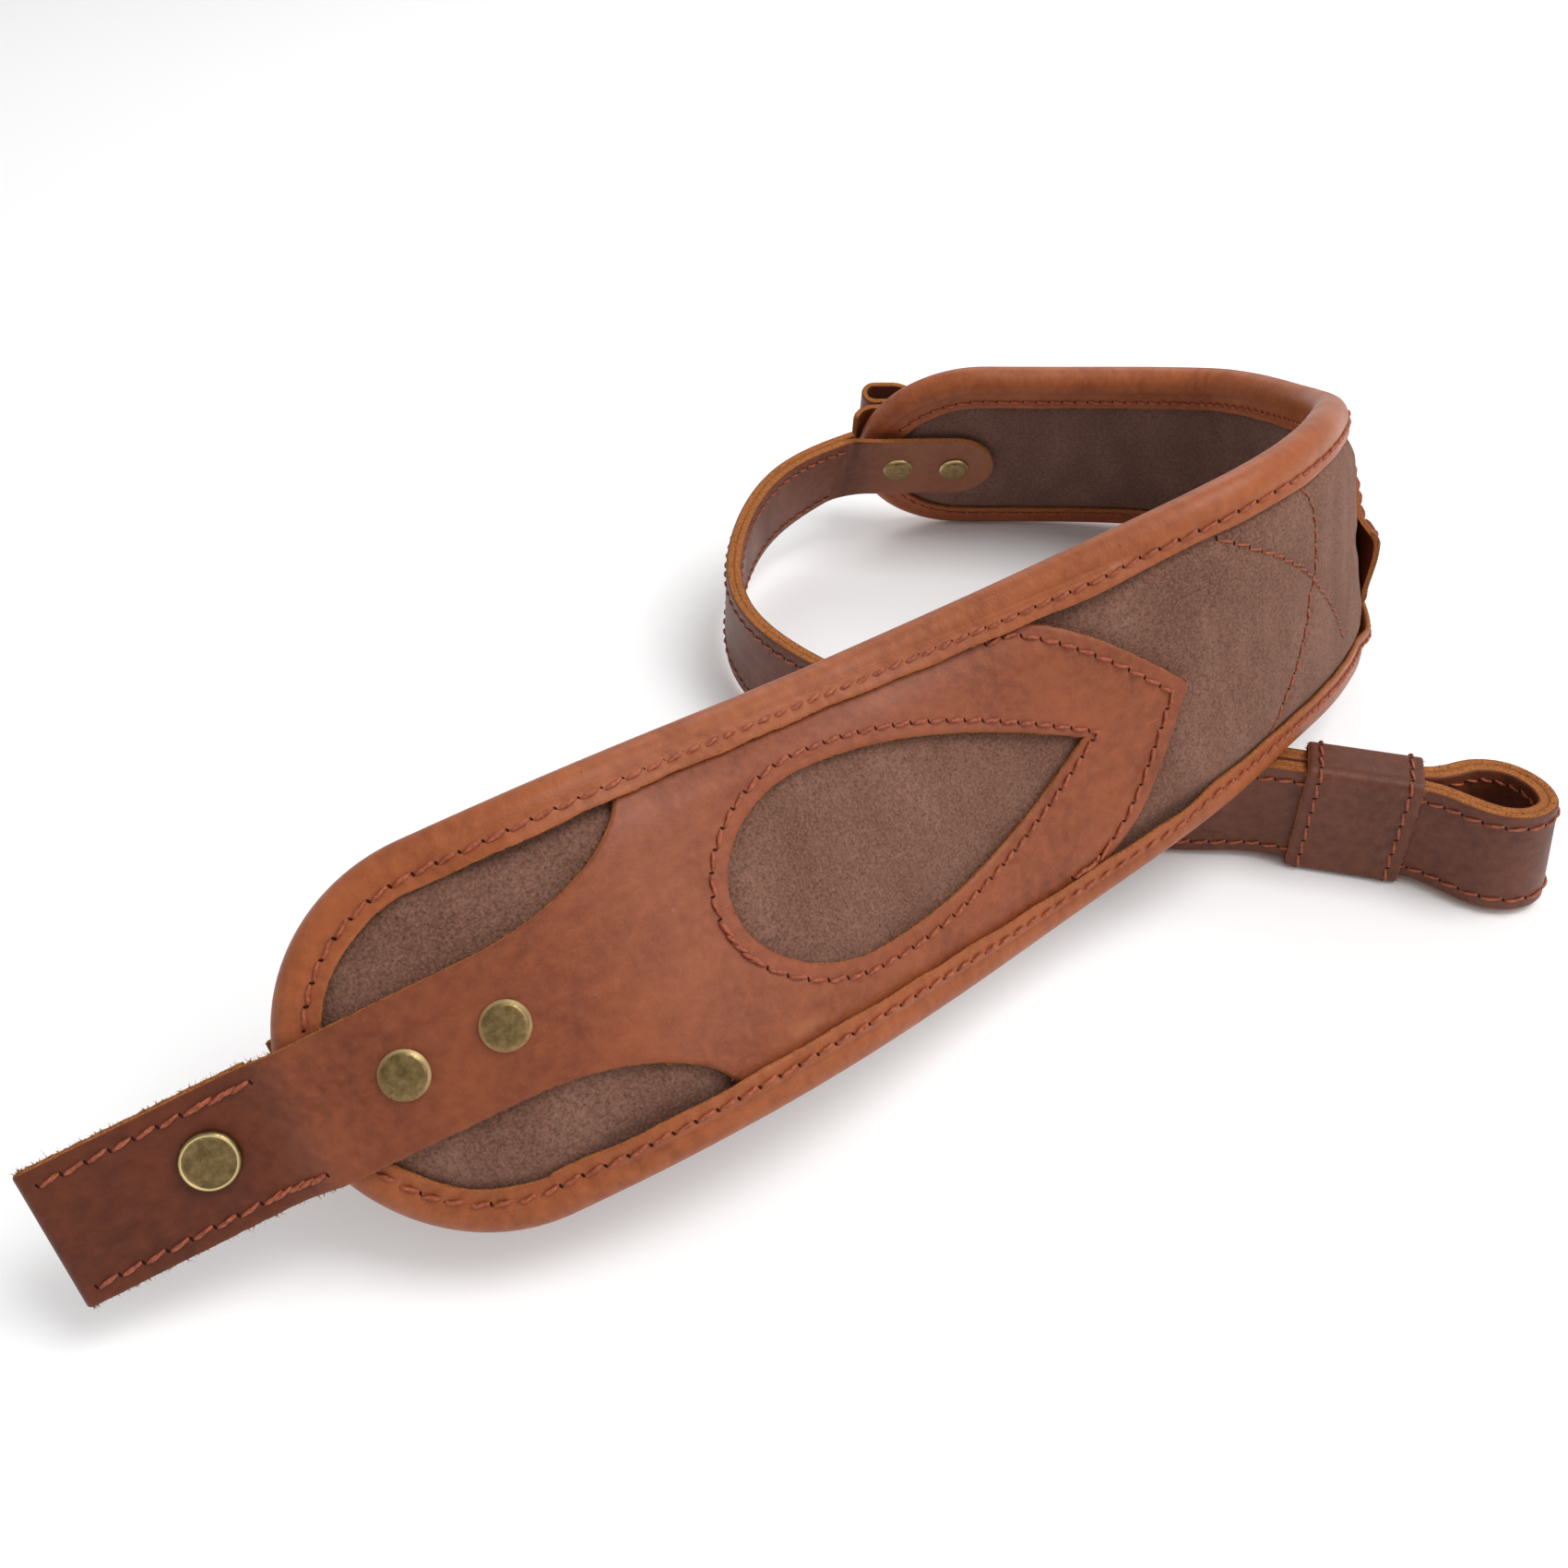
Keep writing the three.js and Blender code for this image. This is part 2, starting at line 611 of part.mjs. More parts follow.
function frontLoop() {
  const inside = GAP / 2;
  const outer = [CREASE - 0.8, -12, -22, -33].map((s) => [s, LOOP_LEVEL + inside, 0, 1]);
  // the back layer bends slightly beyond the stud, so its free end is a face of its own
  const inner = [[-24, LOOP_BACK_BEND], [CREASE - 2.2, 0]].map(([s, e]) => [s, LOOP_LEVEL - inside - e, 0, -1]);
  const path = [...outer, ...foldTurn(LOOP_FOLD, LOOP_LEVEL, inside, -1, 6), ...inner];
  return cutHoles(bandSolid(path, STRAP_HALF, STRAP_LEATHER, loopAt), [holeCutter(loopAt, STUD_AT, 1, -3, 8, 5)]);
}

function rearLoop() {
  const low = STRAP_LEVEL + STRAP_LEATHER + GAP + STRAP_LEATHER;
  const radius = REAR_LOOP_OPENING / 2;
  const upper = (s) => low + GAP + (REAR_LOOP_OPENING - GAP) * smooth((s - REAR_LOOP_PINCH) / 14);
  const marks = [REAR_LOOP_FROM, 508, 513, 519, 524, 528, 532, 536];
  const path = [
    ...marks.map((s) => [s, upper(s), 0, 1]),
    ...foldTurn(REAR_LOOP_FOLD, low + radius, radius, 1, 8),
    ...[...marks].reverse().map((s) => [s, low, 0, -1]),
  ];
  const holes = [holeCutter(padAt, RIVETS_FAR[0], 0, 7, 10.5, RIVET_HOLE), holeCutter(padAt, RIVETS_FAR[1], 0, 7, 14, RIVET_HOLE)];
  return cutHoles(bandSolid(path, STRAP_HALF, STRAP_LEATHER, padAt), holes);
}

// ---------- rivets and the stud ----------
const TAB_BACK = TAB_LEVEL + STRAP_LEATHER + GAP;

function addRivet(name, s, level) {
  const cap = capProfile(RIVET_CAP / 2, 0.7, 1.8);
  addPiece(`${name}_cap`, standOn(capWithStem(cap, RIVET_STEM, level + TAB_BACK - 0.2), padAt, s, 0, level), 'brass');
  const mirrored = (a, b, n) => padAt(a, b, -n);
  addPiece(`${name}_back`, standOn(latheSolid(cap), mirrored, s, 0, TAB_BACK), 'brass');
}

function addStud() {
  const r = STUD_CAP / 2;
  const face = [
    new THREE.Vector2(0, 0), new THREE.Vector2(r, 0), new THREE.Vector2(r, 1.6),
    new THREE.Vector2(r - 0.6, 2.2), new THREE.Vector2(r - 1.2, 1.7), new THREE.Vector2(0, 1.5),
  ];
  const top = LOOP_LEVEL + GAP / 2 + STRAP_LEATHER + 0.2;
  const bottom = LOOP_LEVEL - GAP / 2 - STRAP_LEATHER - LOOP_BACK_BEND - 0.2;
  addPiece('stud_cap', standOn(capWithStem(face, 4, top - bottom - 0.2), loopAt, STUD_AT, 1, top), 'brass');
  const mirrored = (a, b, n) => loopAt(a, b, -n);
  addPiece('stud_back', standOn(latheSolid(capProfile(r - 0.8, 0.9, 1.4)), mirrored, STUD_AT, 1, -bottom), 'brass');
}

// ---------- the tail strap ----------
const tailAt = (s, u, n) => tail.at(s, u, n);
const TAIL_LINES = [TAIL_FROM, ...TAIL_STATIONS.filter((s) => s > TAIL_FROM + 1)];

function tailBand(from, to) {
  const rows = TAIL_LINES.map((s) => [-1, 0, 1].map((c) => [s, c * TAIL_HALF]));
  return sheetSolid(gridCells(rows), (s, u, side) => tailAt(s, u, side ? to : from));
}

const TAIL_OUT = GAP / 2 + TAIL_LEATHER;

function tailLining() {
  return cutHoles(tailBand(-TAIL_OUT, -GAP / 2), [holeCutter(tailAt, 16, -3, -4, 0.8, 3.4)]);
}

// the keeper's own frame on the doubled run: along, across and out
const KEEPER_YAW = Math.atan2(-0.259, 0.966);
const KEEPER_LEAN = THREE.MathUtils.degToRad(-3);
const KEEPER_LIFT = 16.4;

function keeperFrame() {
  const along = new THREE.Vector3(Math.cos(KEEPER_YAW), Math.sin(KEEPER_YAW), 0);
  const side = new THREE.Vector3().crossVectors(UP, along);
  const across = UP.clone().multiplyScalar(Math.cos(KEEPER_LEAN)).addScaledVector(side, Math.sin(KEEPER_LEAN));
  const out = new THREE.Vector3().crossVectors(along, across);
  const centre = new THREE.Vector3(KEEPER_CENTRE[0] - ORIGIN[0], KEEPER_CENTRE[1] - ORIGIN[1], KEEPER_LIFT - ORIGIN[2]);
  return { along, across, out, centre };
}

// corner of the keeper's section, layer 0 inside and 1 outside
function keeperCorner(side, face, layer) {
  const clear = 0.35;
  const u = side * (TAIL_HALF + clear + layer * KEEPER_LEATHER);
  const front = TAIL_OUT + clear + layer * KEEPER_LEATHER;
  return [u, face > 0 ? front : -(RUN_SPACING + front)];
}

function keeper() {
  const { along, across, out, centre } = keeperFrame();
  const at = (t, [u, n]) => {
    const p = centre.clone().addScaledVector(along, t).addScaledVector(across, u).addScaledVector(out, n);
    return [p.x, p.y, p.z];
  };
  const corners = [[-1, 1], [1, 1], [1, -1], [-1, -1]];
  const section = ([side, face]) => [
    at(-KEEPER_LENGTH / 2, keeperCorner(side, face, 0)), at(-KEEPER_LENGTH / 2, keeperCorner(side, face, 1)),
    at(KEEPER_LENGTH / 2, keeperCorner(side, face, 1)), at(KEEPER_LENGTH / 2, keeperCorner(side, face, 0)),
  ];
  return sweepSolid(corners.map(section), true);
}

// ---------- stitching: a thread lies just proud of what it sews ----------
// adds a point wherever a path crosses a facet line
function crossed(path, stations, closed) {
  const out = [];
  path.forEach((p, i) => {
    out.push(p);
    const q = path[(i + 1) % path.length];
    if (i + 1 === path.length && !closed) return;
    const lines = stations.filter((s) => (s - p[0]) * (s - q[0]) < -0.3);
    lines.sort((a, b) => (a - b) * Math.sign(q[0] - p[0]));
    for (const s of lines) out.push([s, p[1] + ((q[1] - p[1]) * (s - p[0])) / (q[0] - p[0])]);
  });
  return out;
}

function threadBar(drawn, at, stations, closed = false) {
  const path = crossed(drawn, stations, closed);
  const sections = path.map(([s, u], i) => {
    const before = path[closed ? (i + path.length - 1) % path.length : Math.max(i - 1, 0)];
    const after = path[closed ? (i + 1) % path.length : Math.min(i + 1, path.length - 1)];
    const way = new THREE.Vector2(after[0] - before[0], after[1] - before[1]).normalize().multiplyScalar(THREAD / 2);
    return [
      at(s - way.y, u + way.x, GAP), at(s + way.y, u - way.x, GAP),
      at(s + way.y, u - way.x, GAP + THREAD), at(s - way.y, u + way.x, GAP + THREAD),
    ];
  });
  return sweepSolid(sections, closed);
}

function addBindingSeams() {
  const clearOfStrap = (point) => Math.abs(point[1]) > STRAP_HALF + 1.5 || (point[0] > 40 && point[0] < 505);
  const face = (name, d, at) => {
    for (const side of [1, -1]) {
      const walk = outlineWalk().map((step) => walkPoint(step, d)).filter((p) => p[1] * side > 0 && clearOfStrap(p));
      walk.sort((a, b) => a[0] - b[0]);
      addPiece(`${name}_${side > 0 ? 'upper' : 'lower'}`, threadBar(walk, at, PAD_STATIONS), 'thread');
    }
  };
  face('binding_seam', BINDING_SEAM, (s, u, h) => padAt(s, u, bindingTop(s, 6.6) + h));
  face('lining_seam', BINDING_INNER_SEAM, (s, u, h) => padAt(s, u, -bindingBottom(BINDING_INNER_SEAM + 0.8) - h));
}

// the seam of a yoke's point, drawn in from its edge, as points from one side over the tip to the other
function pointSeam() {
  const tip = ARROW_TIP - SEAM_INSET;
  const marks = [176, 181, 187, 192, 198, 203.5, 208];
  const drawn = marks.map((s) => [s, Math.min(yokeHalf(s + 3) - 2, HALF - BINDING_OUTER_LAP - 1.4)]);
  return [...drawn, [tip, 0], ...drawn.map(([s, u]) => [s, -u]).reverse()];
}

function windowSeam() {
  const marks = [86, 88.7, 94, 100, 107, WINDOW_WIDEST, 128, 144, 160, 176, 181, 186];
  const side = marks.map((s) => [s, windowHalf(s, SEAM_INSET)]);
  return [[84.6, 0], ...side, [WINDOW_TIP + SEAM_INSET, 0], ...side.map(([s, u]) => [s, -u]).reverse()];
}

function addYokeSeams(name, flip) {
  const at = (s, u, h) => {
    const real = flip ? MIRROR_SUM - s : s;
    return padAt(real, u, yokeUnder(real, u) + STRAP_LEATHER + h);
  };
  const lines = flip ? PAD_STATIONS.map((s) => MIRROR_SUM - s) : PAD_STATIONS;
  addPiece(`${name}_point_seam`, threadBar(pointSeam(), at, lines), 'thread');
  addPiece(`${name}_window_seam`, threadBar(windowSeam(), at, lines, true), 'thread');
}

function addQuilting() {
  const at = (s, u, h) => padAt(s, u, MIDDLE_CORE + h);
  addPiece('quilting_slanted', threadBar([[240, 21], [290, -20.5]], at, PAD_STATIONS), 'thread');
}

addPiece('outer_suede', outerSuede(), 'suede');
addPiece('padding', padding(), 'foam');
addPiece('inner_suede', innerSuede(), 'suede');
addPiece('edge_binding', edgeBinding(), 'binding');
addPiece('front_yoke', frontYoke(), 'yoke');
addPiece('far_yoke', farYoke(), 'yoke');
addPiece('front_tab', lengthTab(CREASE, TAB_NEAR_END, RIVETS_NEAR), 'yoke');
addPiece('far_tab', lengthTab(PAD_TO, TAB_FAR_END, RIVETS_FAR), 'yoke');
addRivet('front_rivet_1', RIVETS_NEAR[0], STRAP_LEVEL + STRAP_LEATHER + GAP);
addRivet('front_rivet_2', RIVETS_NEAR[1], STRAP_LEVEL + STRAP_LEATHER + GAP);
addRivet('far_rivet_1', RIVETS_FAR[0], STRAP_LEVEL + 2 * STRAP_LEATHER + 2 * GAP);
addRivet('far_rivet_2', RIVETS_FAR[1], STRAP_LEVEL + 3 * STRAP_LEATHER + 3 * GAP);
addPiece('front_loop', frontLoop(), 'strap');
addStud();
addPiece('rear_loop', rearLoop(), 'strap');
addPiece('tail_outer', tailBand(GAP / 2, TAIL_OUT), 'strap');
addPiece('tail_lining', tailLining(), 'strap');
addPiece('keeper', keeper(), 'strap');
addBindingSeams();
addYokeSeams('front_yoke', false);
addYokeSeams('far_yoke', true);
addQuilting();

for (const side of [1, -1]) {
  const which = side > 0 ? 'upper' : 'lower';
  const u = side * (STRAP_HALF - SEAM_INSET);
  const loopTop = (s, v, h) => loopAt(s, v, LOOP_LEVEL + GAP / 2 + STRAP_LEATHER + h);
  addPiece(`front_loop_seam_${which}`, threadBar([[CREASE - 3, u], [-45, u]], loopTop, []), 'thread');
  const tailTop = (s, v, h) => tailAt(s, v, -TAIL_OUT - h);
  const v = side * (TAIL_HALF - SEAM_INSET);
  addPiece(`tail_seam_${which}`, threadBar([[4, v], [238, v]], tailTop, TAIL_STATIONS), 'thread');
}

export default group;
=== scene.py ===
"""Padded leather shoulder strap: the visible leather, suede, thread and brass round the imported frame.

Flat patterns are in millimetres: s runs along a strap, u across it and n out of its face.
"""
import math

import bpy
import numpy as np
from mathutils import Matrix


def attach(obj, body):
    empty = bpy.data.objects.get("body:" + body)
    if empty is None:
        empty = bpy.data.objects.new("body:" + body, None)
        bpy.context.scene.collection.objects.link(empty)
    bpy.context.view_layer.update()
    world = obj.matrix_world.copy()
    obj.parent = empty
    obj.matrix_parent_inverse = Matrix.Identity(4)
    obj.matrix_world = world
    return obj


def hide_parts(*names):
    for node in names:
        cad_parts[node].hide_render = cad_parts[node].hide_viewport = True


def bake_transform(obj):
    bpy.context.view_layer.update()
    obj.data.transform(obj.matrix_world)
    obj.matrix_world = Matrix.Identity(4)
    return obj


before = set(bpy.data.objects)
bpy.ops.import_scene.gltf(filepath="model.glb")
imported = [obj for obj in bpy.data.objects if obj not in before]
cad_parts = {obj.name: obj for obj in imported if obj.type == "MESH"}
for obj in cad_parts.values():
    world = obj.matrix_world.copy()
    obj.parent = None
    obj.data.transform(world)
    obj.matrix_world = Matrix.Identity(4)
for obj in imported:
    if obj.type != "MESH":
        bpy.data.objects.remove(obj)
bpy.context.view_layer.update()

MM = 0.001
ORIGIN = np.array([26.97, 341.48, -0.07])
rng = np.random.default_rng(7)

# ---------- dimensions shared with the CAD, millimetres ----------
PAD_WIDTH, PAD_FROM, PAD_TO, MIRROR_SUM = 78.6, -1.8, 546.3, 544.5
HALF = PAD_WIDTH / 2
ROUND_NEAR, ROUND_FAR = PAD_FROM + HALF, PAD_TO - HALF
EDGE_CORE, MIDDLE_CORE = 2.3, 5.1
SUEDE, STRAP_LEATHER, BINDING_LEATHER, YOKE_GAP, GAP = 1.3, 1.8, 1.6, 0.6, 0.3
BINDING_ROLL, OUTER_LAP, INNER_LAP = 4.7, 9.5, 11.2
BINDING_SEAM, INNER_SEAM, SEAM_INSET = 6.9, 9.0, 3.2
STRAP_HALF, STRAP_LEVEL, TAB_LEVEL, YOKE_TUCK = 14.1, 5.7, 6.5, 6.3
FLARE_FROM, FLARE_REACH, FLARE_RISE = 40, 38, 23
ARROW_FROM, ARROW_TIP, ARROW_POWER = 170, 214.8, 1.9
WINDOW_FROM, WINDOW_WIDEST, WINDOW_TIP, WINDOW_HALF, WINDOW_POWER = 88, 116, 187, 20.3, 2.05
CREASE, LOOP_AXIS_LEVEL, LOOP_LEVEL, LOOP_FOLD, LOOP_SWING = -2.4, 3.3, 2.25, -47.3, 6.5
RIVETS_NEAR, RIVETS_FAR, STUD_AT = [22.2, 41.9], [533, 513.9], -17
TAB_NEAR_END, TAB_FAR_END = 56, 500.5
WRAP_CENTRE = PAD_TO - BINDING_ROLL
TAIL_HALF, TAIL_LEATHER, TAIL_FROM, RUN_SPACING = 14.1, 2.2, 1.6, 5.5
TAIL_OUT = GAP / 2 + TAIL_LEATHER
KEEPER_LENGTH, KEEPER_LEATHER = 27.5, 1.8
STITCH, THREAD = 4.6, 0.48
SUEDE_INSET, PLY_GAP, CUT_STEP = 3.6, 0.03, 1.2
BINDING_PITCH, FINE_THREAD, STITCH_LEAN = 4.5, 0.4, 0.4
HOLE_ACROSS, HOLE_ALONG, HOLE_SKEW = 0.52, 0.3, 0.2
QUILT_THREAD, QUILT_PITCH = 0.34, 4.0
RIVET_RADIUS, RIVET_HEIGHT, RIVET_STEM, STUD_RADIUS = 5, 1.9, 1.5, 5.8
CAMERA_HEIGHT, CAMERA_PITCH = 260, 36.8

# centreline of the pad and of the tail: x, y, z and lean from upright in degrees
PAD_ROUTE = [
    [-90.4, 195.6, 36.2, 29.4], [-26.6, 213.8, 59.6, 42.7], [18.3, 259.8, 50.2, 43.2],
    [61.5, 290, 55, 23.5], [115.4, 311.1, 76.7, 8.1], [143.2, 359.2, 67.5, 14.5],
    [169.2, 421.6, 42.6, 16.8], [154.9, 480.8, 40, 28.8], [92.6, 491.9, 35.2, 28],
    [23.5, 490.2, 36.2, 28],
]
TAIL_ROUTE = [
    [21.5, 489.5, 31, 26], [-8.5, 463.5, 29, 12], [-18.5, 413, 22, 2], [-10.5, 379, 17.5, -3],
    [33.5, 344, 14.9, -2], [88.5, 318, 15, -1], [119, 317.7, 16.3, -3], [125.8, 315.9, 16.4, -3],
    [132.6, 314.1, 16.4, -3], [139.3, 312.3, 16.4, -3], [146, 310.5, 16.4, -3],
    [152.7, 308.7, 16.4, -3], [159.5, 306.9, 16.4, -3], [164.6, 304.3, 16.3, -3],
    [169.6, 299.4, 16.2, -3], [175.5, 295.3, 16, 0], [182.5, 294.6, 15.8, 4], [190.4, 299, 15.8, 8],
    [190.4, 308.6, 15.8, 8], [183.5, 316.2, 16, 5], [174, 316.8, 16.2, 3],
    [167.6, 313.4, 16.4, 3], [161.4, 312.1, 16.4, 3], [154.2, 314, 16.4, 3],
    [147.5, 315.8, 16.4, 3], [140.8, 317.6, 16.4, 3], [134.1, 319.4, 16.4, 3],
    [127.4, 321.2, 16.4, 3], [120.7, 323, 16.4, 3], [100.7, 328.4, 16.2, 3],
]


def smooth(t):
    c = np.clip(t, 0, 1)
    return c * c * (3 - 2 * c)


def unit(v):
    return v / np.maximum(np.linalg.norm(v, axis=-1, keepdims=True), 1e-12)


def distances(points):
    """Distance along a row of points from the first to each one."""
    return np.concatenate([[0], np.cumsum(np.linalg.norm(np.diff(points, axis=0), axis=1))])


class StrapRoute:
    """A flat strap bent along a smooth route; place() turns flat (s, u, n) into points in metres."""

    def __init__(self, points):
        p = np.array(points, float)
        self.points = np.vstack([2 * p[0] - p[1], p, 2 * p[-1] - p[-2]])
        self.spans = len(p) - 1
        self.t = np.linspace(0, self.spans, 601)
        self.s = distances(self.blend(self.t)[0][:, :3])
        self.length = self.s[-1]

    def blend(self, t):
        i = np.minimum(t.astype(int), self.spans - 1)
        f = (t - i)[..., None]
        g = 1 - f
        w = [g**3, 3 * f**3 - 6 * f**2 + 4, -3 * f**3 + 3 * f**2 + 3 * f + 1, f**3]
        d = [-g * g, 3 * f * f - 4 * f, -3 * f * f + 2 * f + 1, f * f]
        value = sum(w[j] * self.points[i + j] for j in range(4)) / 6
        slope = sum(d[j] * self.points[i + j][..., :3] for j in range(4)) / 2
        return value, slope

    def place(self, s, u, n):
        s, u, n = np.broadcast_arrays(np.asarray(s, float), u, n)
        inside = np.clip(s, 0, self.length)
        value, slope = self.blend(np.interp(inside, self.s, self.t))
        along = unit(slope)
        centre = value[..., :3] + along * (s - inside)[..., None]
        side = unit(np.cross([0.0, 0.0, 1.0], along))
        rise = np.cross(along, side)
        lean = np.radians(value[..., 3:4])
        across = rise * np.cos(lean) + side * np.sin(lean)
        out = rise * np.sin(lean) - side * np.cos(lean)
        return (centre + across * u[..., None] + out * n[..., None] - ORIGIN) * MM


pad = StrapRoute(PAD_ROUTE)
tail = StrapRoute(TAIL_ROUTE)
pad_place, tail_place = pad.place, tail.place


def under(place):
    """The same place function with its levels counted from the other face."""
    return lambda s, u, n: place(s, u, -n)


# ---------- surfaces of the flat pattern ----------
def inset(s, u):
    return HALF - np.hypot(s - np.clip(s, ROUND_NEAR, ROUND_FAR), u)


def core(d):
    return EDGE_CORE + (MIDDLE_CORE - EDGE_CORE) * smooth((d - 5) / 12)


def half_width(s, d):
    beyond = s - np.clip(s, ROUND_NEAR, ROUND_FAR)
    return np.sqrt(np.maximum((HALF - d) ** 2 - beyond**2, 0))


def from_end(s):
    return np.minimum(s, MIRROR_SUM - s)


def binding_under(s, d):
    near = from_end(s)
    tuck = (STRAP_LEATHER + YOKE_GAP) * smooth((near - 40) / 16) * smooth((218 - near) / 16)
    return core(d) + GAP + tuck * smooth((d - 4.7) / 1.6)


def yoke_half(m):
    wide = HALF - YOKE_TUCK
    t = np.clip((m - FLARE_FROM) / FLARE_REACH, 0, 1)
    flare = np.minimum(STRAP_HALF + FLARE_RISE * (1 - np.sqrt(1 - t * t)), wide)
    arrow = wide * (1 - np.clip((m - ARROW_FROM) / (ARROW_TIP - ARROW_FROM), 0, 1) ** ARROW_POWER)
    return np.where(m <= ARROW_FROM, flare, arrow)


def window_half(m, extra=0.0):
    start, tip, half = WINDOW_FROM - extra * 1.1, WINDOW_TIP + extra, WINDOW_HALF + extra
    a = np.clip((WINDOW_WIDEST - m) / (WINDOW_WIDEST - start), 0, 1)
    b = np.clip((m - WINDOW_WIDEST) / (tip - WINDOW_WIDEST), 0, 1)
    return half * np.where(m < WINDOW_WIDEST, np.sqrt(1 - a * a), 1 - b**WINDOW_POWER)


def curl(s, u):
    near = MIRROR_SUM - s
    lifted = 4.5 * smooth((near - 194) / 20) * smooth((u + 30) / 12) * smooth((6 - u) / 10)
    return np.where(s < MIRROR_SUM / 2, 0, lifted)


def yoke_under(s, u):
    near = from_end(s)
    over = np.maximum(core(inset(s, u)) + YOKE_GAP, np.where(near < 52, STRAP_LEVEL, 0)) + curl(s, u)
    level = np.where(near < 20, STRAP_LEVEL, over)
    start = LOOP_LEVEL + GAP / 2
    onto_pad = start + (STRAP_LEVEL - start) * smooth((s + 9) / 14)
    return np.where(s < 5, onto_pad, level)


def quilting_curve(u):
    return 260 - 20 * ((u - 10) / 37) ** 2


def puckers(s, u, strength):
    waves = np.sin(s / 2.3 + 0.6 * np.sin(u / 8)) + 0.8 * np.sin(s / 3.7 + 1.3 + u / 21)
    waves = waves + 0.5 * np.sin(s / 1.45 + u / 30)
    patch = 0.55 + 0.45 * np.sin(s / 11 + u / 13)
    return strength * waves * patch


def suede_level(s, u, inner=False):
    """Half thickness out to the suede's face."""
    d = inset(s, u)
    near = from_end(s)
    level = core(d) - 0.1
    free = smooth((near - 216) / 14) * smooth((d - 10) / 7)
    if inner:
        bend = smooth((s - 215) / 40) * smooth((470 - s) / 40) * smooth((d - 11) / 6)
        return level + puckers(s, u, 0.2) * bend
    window = 0.8 * smooth((window_half(near) - np.abs(u)) / 6)
    pocket = 0.5 * smooth((np.abs(u) - yoke_half(near) - 1) / 4) * smooth((d - 9.5) / 3)
    to_line = np.abs((u - 28.5) + 0.83 * (s - 231)) / 1.3
    to_curve = np.abs(s - quilting_curve(u)) * 0.9
    nearest = np.minimum(to_line, to_curve)
    seams = 0.45 * np.exp(-((nearest / 1.6) ** 2)) + 0.5 * np.exp(-((nearest / 7) ** 2))
    return level + window + pocket + free * (0.8 + puckers(s, u, 0.22) - seams)


def binding_press(d, along, seam):
    """How far the thread pulls the binding down beside its seam."""
    pull = 0.6 + 0.4 * np.cos(2 * math.pi * along / STITCH)
    return 0.32 * np.exp(-(((d - seam) / 0.8) ** 2)) * pull


def binding_top(s, d):
    return np.maximum(binding_under(s, d) + BINDING_LEATHER, BINDING_ROLL)


def binding_bottom(d):
    return np.maximum(core(d) + GAP + BINDING_LEATHER, BINDING_ROLL - 0.3)


def loop_place(s, u, n):
    s, u, n = np.broadcast_arrays(np.asarray(s, float), u, n)
    swing = math.radians(LOOP_SWING)
    back, lift = CREASE - s, n - LOOP_AXIS_LEVEL
    reach = back * math.cos(swing) - lift * math.sin(swing)
    level = LOOP_AXIS_LEVEL + lift * math.cos(swing) + back * math.sin(swing)
    return pad.place(CREASE - reach, u, level)


def end_wrap_place(s, u, level):
    """A strap level mm off the pad's middle that goes round the far end of the binding."""
    s, u, level = np.broadcast_arrays(np.asarray(s, float), u, level)
    angle = np.maximum(s - WRAP_CENTRE, 0) / STRAP_LEVEL
    return pad.place(np.minimum(s, WRAP_CENTRE) + level * np.sin(angle), u, level * np.cos(angle))


# ---------- materials ----------
def rgb(r, g, b):
    """An 8-bit display colour as a linear one."""
    linear = [c / 3294.6 if c <= 10 else ((c / 255 + 0.055) / 1.055) ** 2.4 for c in (r, g, b)]
    return (*linear, 1.0)


